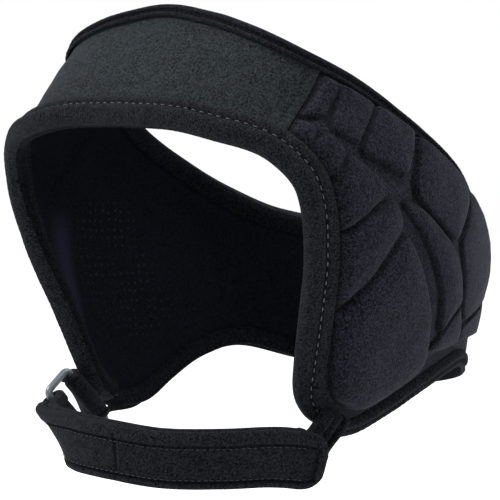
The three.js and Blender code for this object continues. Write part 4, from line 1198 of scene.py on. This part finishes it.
def chin_strap():
    path, outer_start = strap_path()
    at, middle = path[:2]
    seam = (outer_start + STRAP_SEAM_RUN, SEAM_DEPTH)
    wide, thick, half = ribbon("chin_strap_cloth", "chin_strap", path, STRAP_CLOTH, STRAP_BANDS, 71,
                               end_round=STRAP_ROUND, seams=[seam], gathers=GATHER_DEPTH)
    outer = (at > outer_start - 4) & (at < at[-1] - 9)
    inner = at < outer_start - 14
    for label, border, band in (("top", -1, STRAP_BANDS[0]), ("low", 1, STRAP_BANDS[1])):
        off = (half - band - 1.1) * border
        for ending, keep, proud, sewing, thread in (("", outer, 0.4, STRAP_SEWING, DIM_THREAD),
                                                    ("inside_", inner, 0.12, INSIDE_SEWING, DARK_THREAD)):
            line = middle + wide * off[:, None] - thick * (STRAP_CLOTH / 2 + proud)
            stitches(f"strap_stitches_{ending}{label}", line[keep], -thick[keep], sewing, thread,
                     "strap_cloth")
    start = int(np.argmax(at > 3.5))
    off = np.linspace(-5.5, 5.5, 20)[:, None]
    line = middle[start] + wide[start] * off + thick[start] * (STRAP_CLOTH / 2 + 0.35)
    ups = np.repeat(thick[start][None], 20, 0)
    stitches("strap_tack", line, ups, TACK_SEWING, DARK_THREAD, "strap_cloth", lean=2.5)


def strap_ring():
    ring = ring_frame()
    centre = (ring["strap_bar"] + ring["tab_bar"]) / 2
    long, short = RING_LONG / 2, RING_SHORT / 2
    path, outs = [], []
    for right, up, start in ((1, 1, 0), (-1, 1, 90), (-1, -1, 180), (1, -1, 270)):
        for degrees in np.linspace(start, start + 90, 9):
            angle = math.radians(degrees)
            turned = ring["wide"] * math.cos(angle) + ring["back"] * math.sin(angle)
            corner = (ring["wide"] * right * (long - RING_BEND)
                      + ring["back"] * up * (short - RING_BEND))
            path.append(centre + corner + turned * RING_BEND)
            outs.append(turned)
    rings = []
    for point, outward in zip(path, outs):
        turn = np.linspace(0, 2 * math.pi, 21)[:-1, None]
        rings.append(point + outward * RING_WIRE / 2 * np.cos(turn)
                     + ring["out"] * RING_WIRE / 2 * np.sin(turn))
    verts, faces = swept(np.array(rings), True)
    make("ring_bar", verts, outwards(verts, faces), PLASTIC, ["strap_ring"])


def ring_tab():
    ring = ring_frame()
    turn, z = -TAB_TAIL[:, 0], height(TAB_TAIL[:, 1])
    up = bare(turn - 4, height(TAB_TAIL[:, 1] + 0.16)) - bare(turn + 4, height(TAB_TAIL[:, 1] - 0.16))
    tail_wide = -unit(up)
    width = TAB_TAIL[:, 3] * TAB_WIDTH
    under = LEG_OUT + PUFF + TAB_CLOTH / 2
    lift = TAB_TAIL[:, 2] * SEWN_LIFT
    low = place(turn, z, under + lift)
    high = place(turn, z, under + TAB_CLOTH + GAP + lift)[::-1]
    turned, turned_wide = fold(ring["tab_bar"], low[-1], high[0], TAB_CLOTH)
    middle = np.concatenate([low, turned, high])
    wide = np.concatenate([tail_wide, turned_wide, tail_wide[::-1]])
    width = np.concatenate([width, np.full(len(turned), TAB_WIDTH), width[::-1]])
    path = smooth_path(middle, wide, width, np.linspace(0, runs(middle)[-1], TAB_ROWS))
    ribbon("ring_tab_cloth", "ring_tab", path, TAB_CLOTH, TAB_BANDS, 81, lift=0.35)


# Camera, lights and floor

def camera():
    turn, rise, roll = (math.radians(v) for v in (CAMERA_TURN, CAMERA_RISE, CAMERA_ROLL))
    back = np.array([math.sin(turn) * math.cos(rise), -math.cos(turn) * math.cos(rise), math.sin(rise)])
    right = np.array([math.cos(turn), math.sin(turn), 0])
    up = np.cross(back, right)
    right, up = (math.cos(roll) * right + math.sin(roll) * up,
                 -math.sin(roll) * right + math.cos(roll) * up)
    where = right * CAMERA_ASIDE + up * CAMERA_LIFT + back * CAMERA_AWAY
    data = bpy.data.cameras.new("camera")
    data.lens = CAMERA_LENS
    data.sensor_width = SENSOR
    data.sensor_fit = "HORIZONTAL"
    data.clip_start, data.clip_end = 0.05, 60
    piece = linked("camera", data)
    rows = [[*row, spot * MM] for row, spot in zip(np.stack([right, up, back], 1), where)]
    piece.matrix_world = Matrix(rows + [[0, 0, 0, 1]])
    bpy.context.scene.camera = piece


def area_light(name, where, target, size, power):
    data = bpy.data.lights.new(name, "AREA")
    data.shape = "SQUARE"
    data.size = size
    data.energy = power
    piece = linked(name, data)
    piece.location = where
    piece.rotation_euler = (Vector(target) - Vector(where)).to_track_quat("-Z", "Y").to_euler()


def studio():
    world = bpy.data.worlds.new("studio")
    bpy.context.scene.world = world
    world.use_nodes = True
    fill(world.node_tree.nodes["Background"], Color=(1, 1, 1, 1), Strength=1.0)
    material, tree, shader = node_material("pale_floor")
    where = new_node(tree, "ShaderNodeTexCoord").outputs["Object"]
    cloud = noise(tree, where, 3.0, 2.0)
    tree.links.new(scaled_colour(tree, (0.97, 0.97, 0.97), spread(tree, cloud, 0.3, 0.7, 0.99, 1.01)),
                   shader.inputs["Base Color"])
    fill(shader, Roughness=0.9, Emission_Color=(1, 1, 1, 1), Emission_Strength=0.12)
    reach, level = FLOOR_REACH, FLOOR_LEVEL
    mesh = bpy.data.meshes.new("floor")
    mesh.from_pydata([(-reach, -reach, level), (reach, -reach, level), (reach, reach, level),
                      (-reach, reach, level)], [], [[0, 1, 2, 3]])
    floor = linked("floor", mesh)
    mesh.materials.append(material)
    for name, light in LIGHTS.items():
        area_light(name, *light)


def main():
    camera()
    studio()
    forehead()
    ear_pad("ear_cushion_left", 1, "ear_pad_left")
    ear_pad("ear_cushion_right", -1, "ear_pad_right")
    nape()
    lining()
    bindings()
    seam_stitches(1, "left")
    seam_stitches(-1, "right")
    chin_strap()
    strap_ring()
    ring_tab()
    bpy.context.scene.view_settings.view_transform = "Standard"


main()
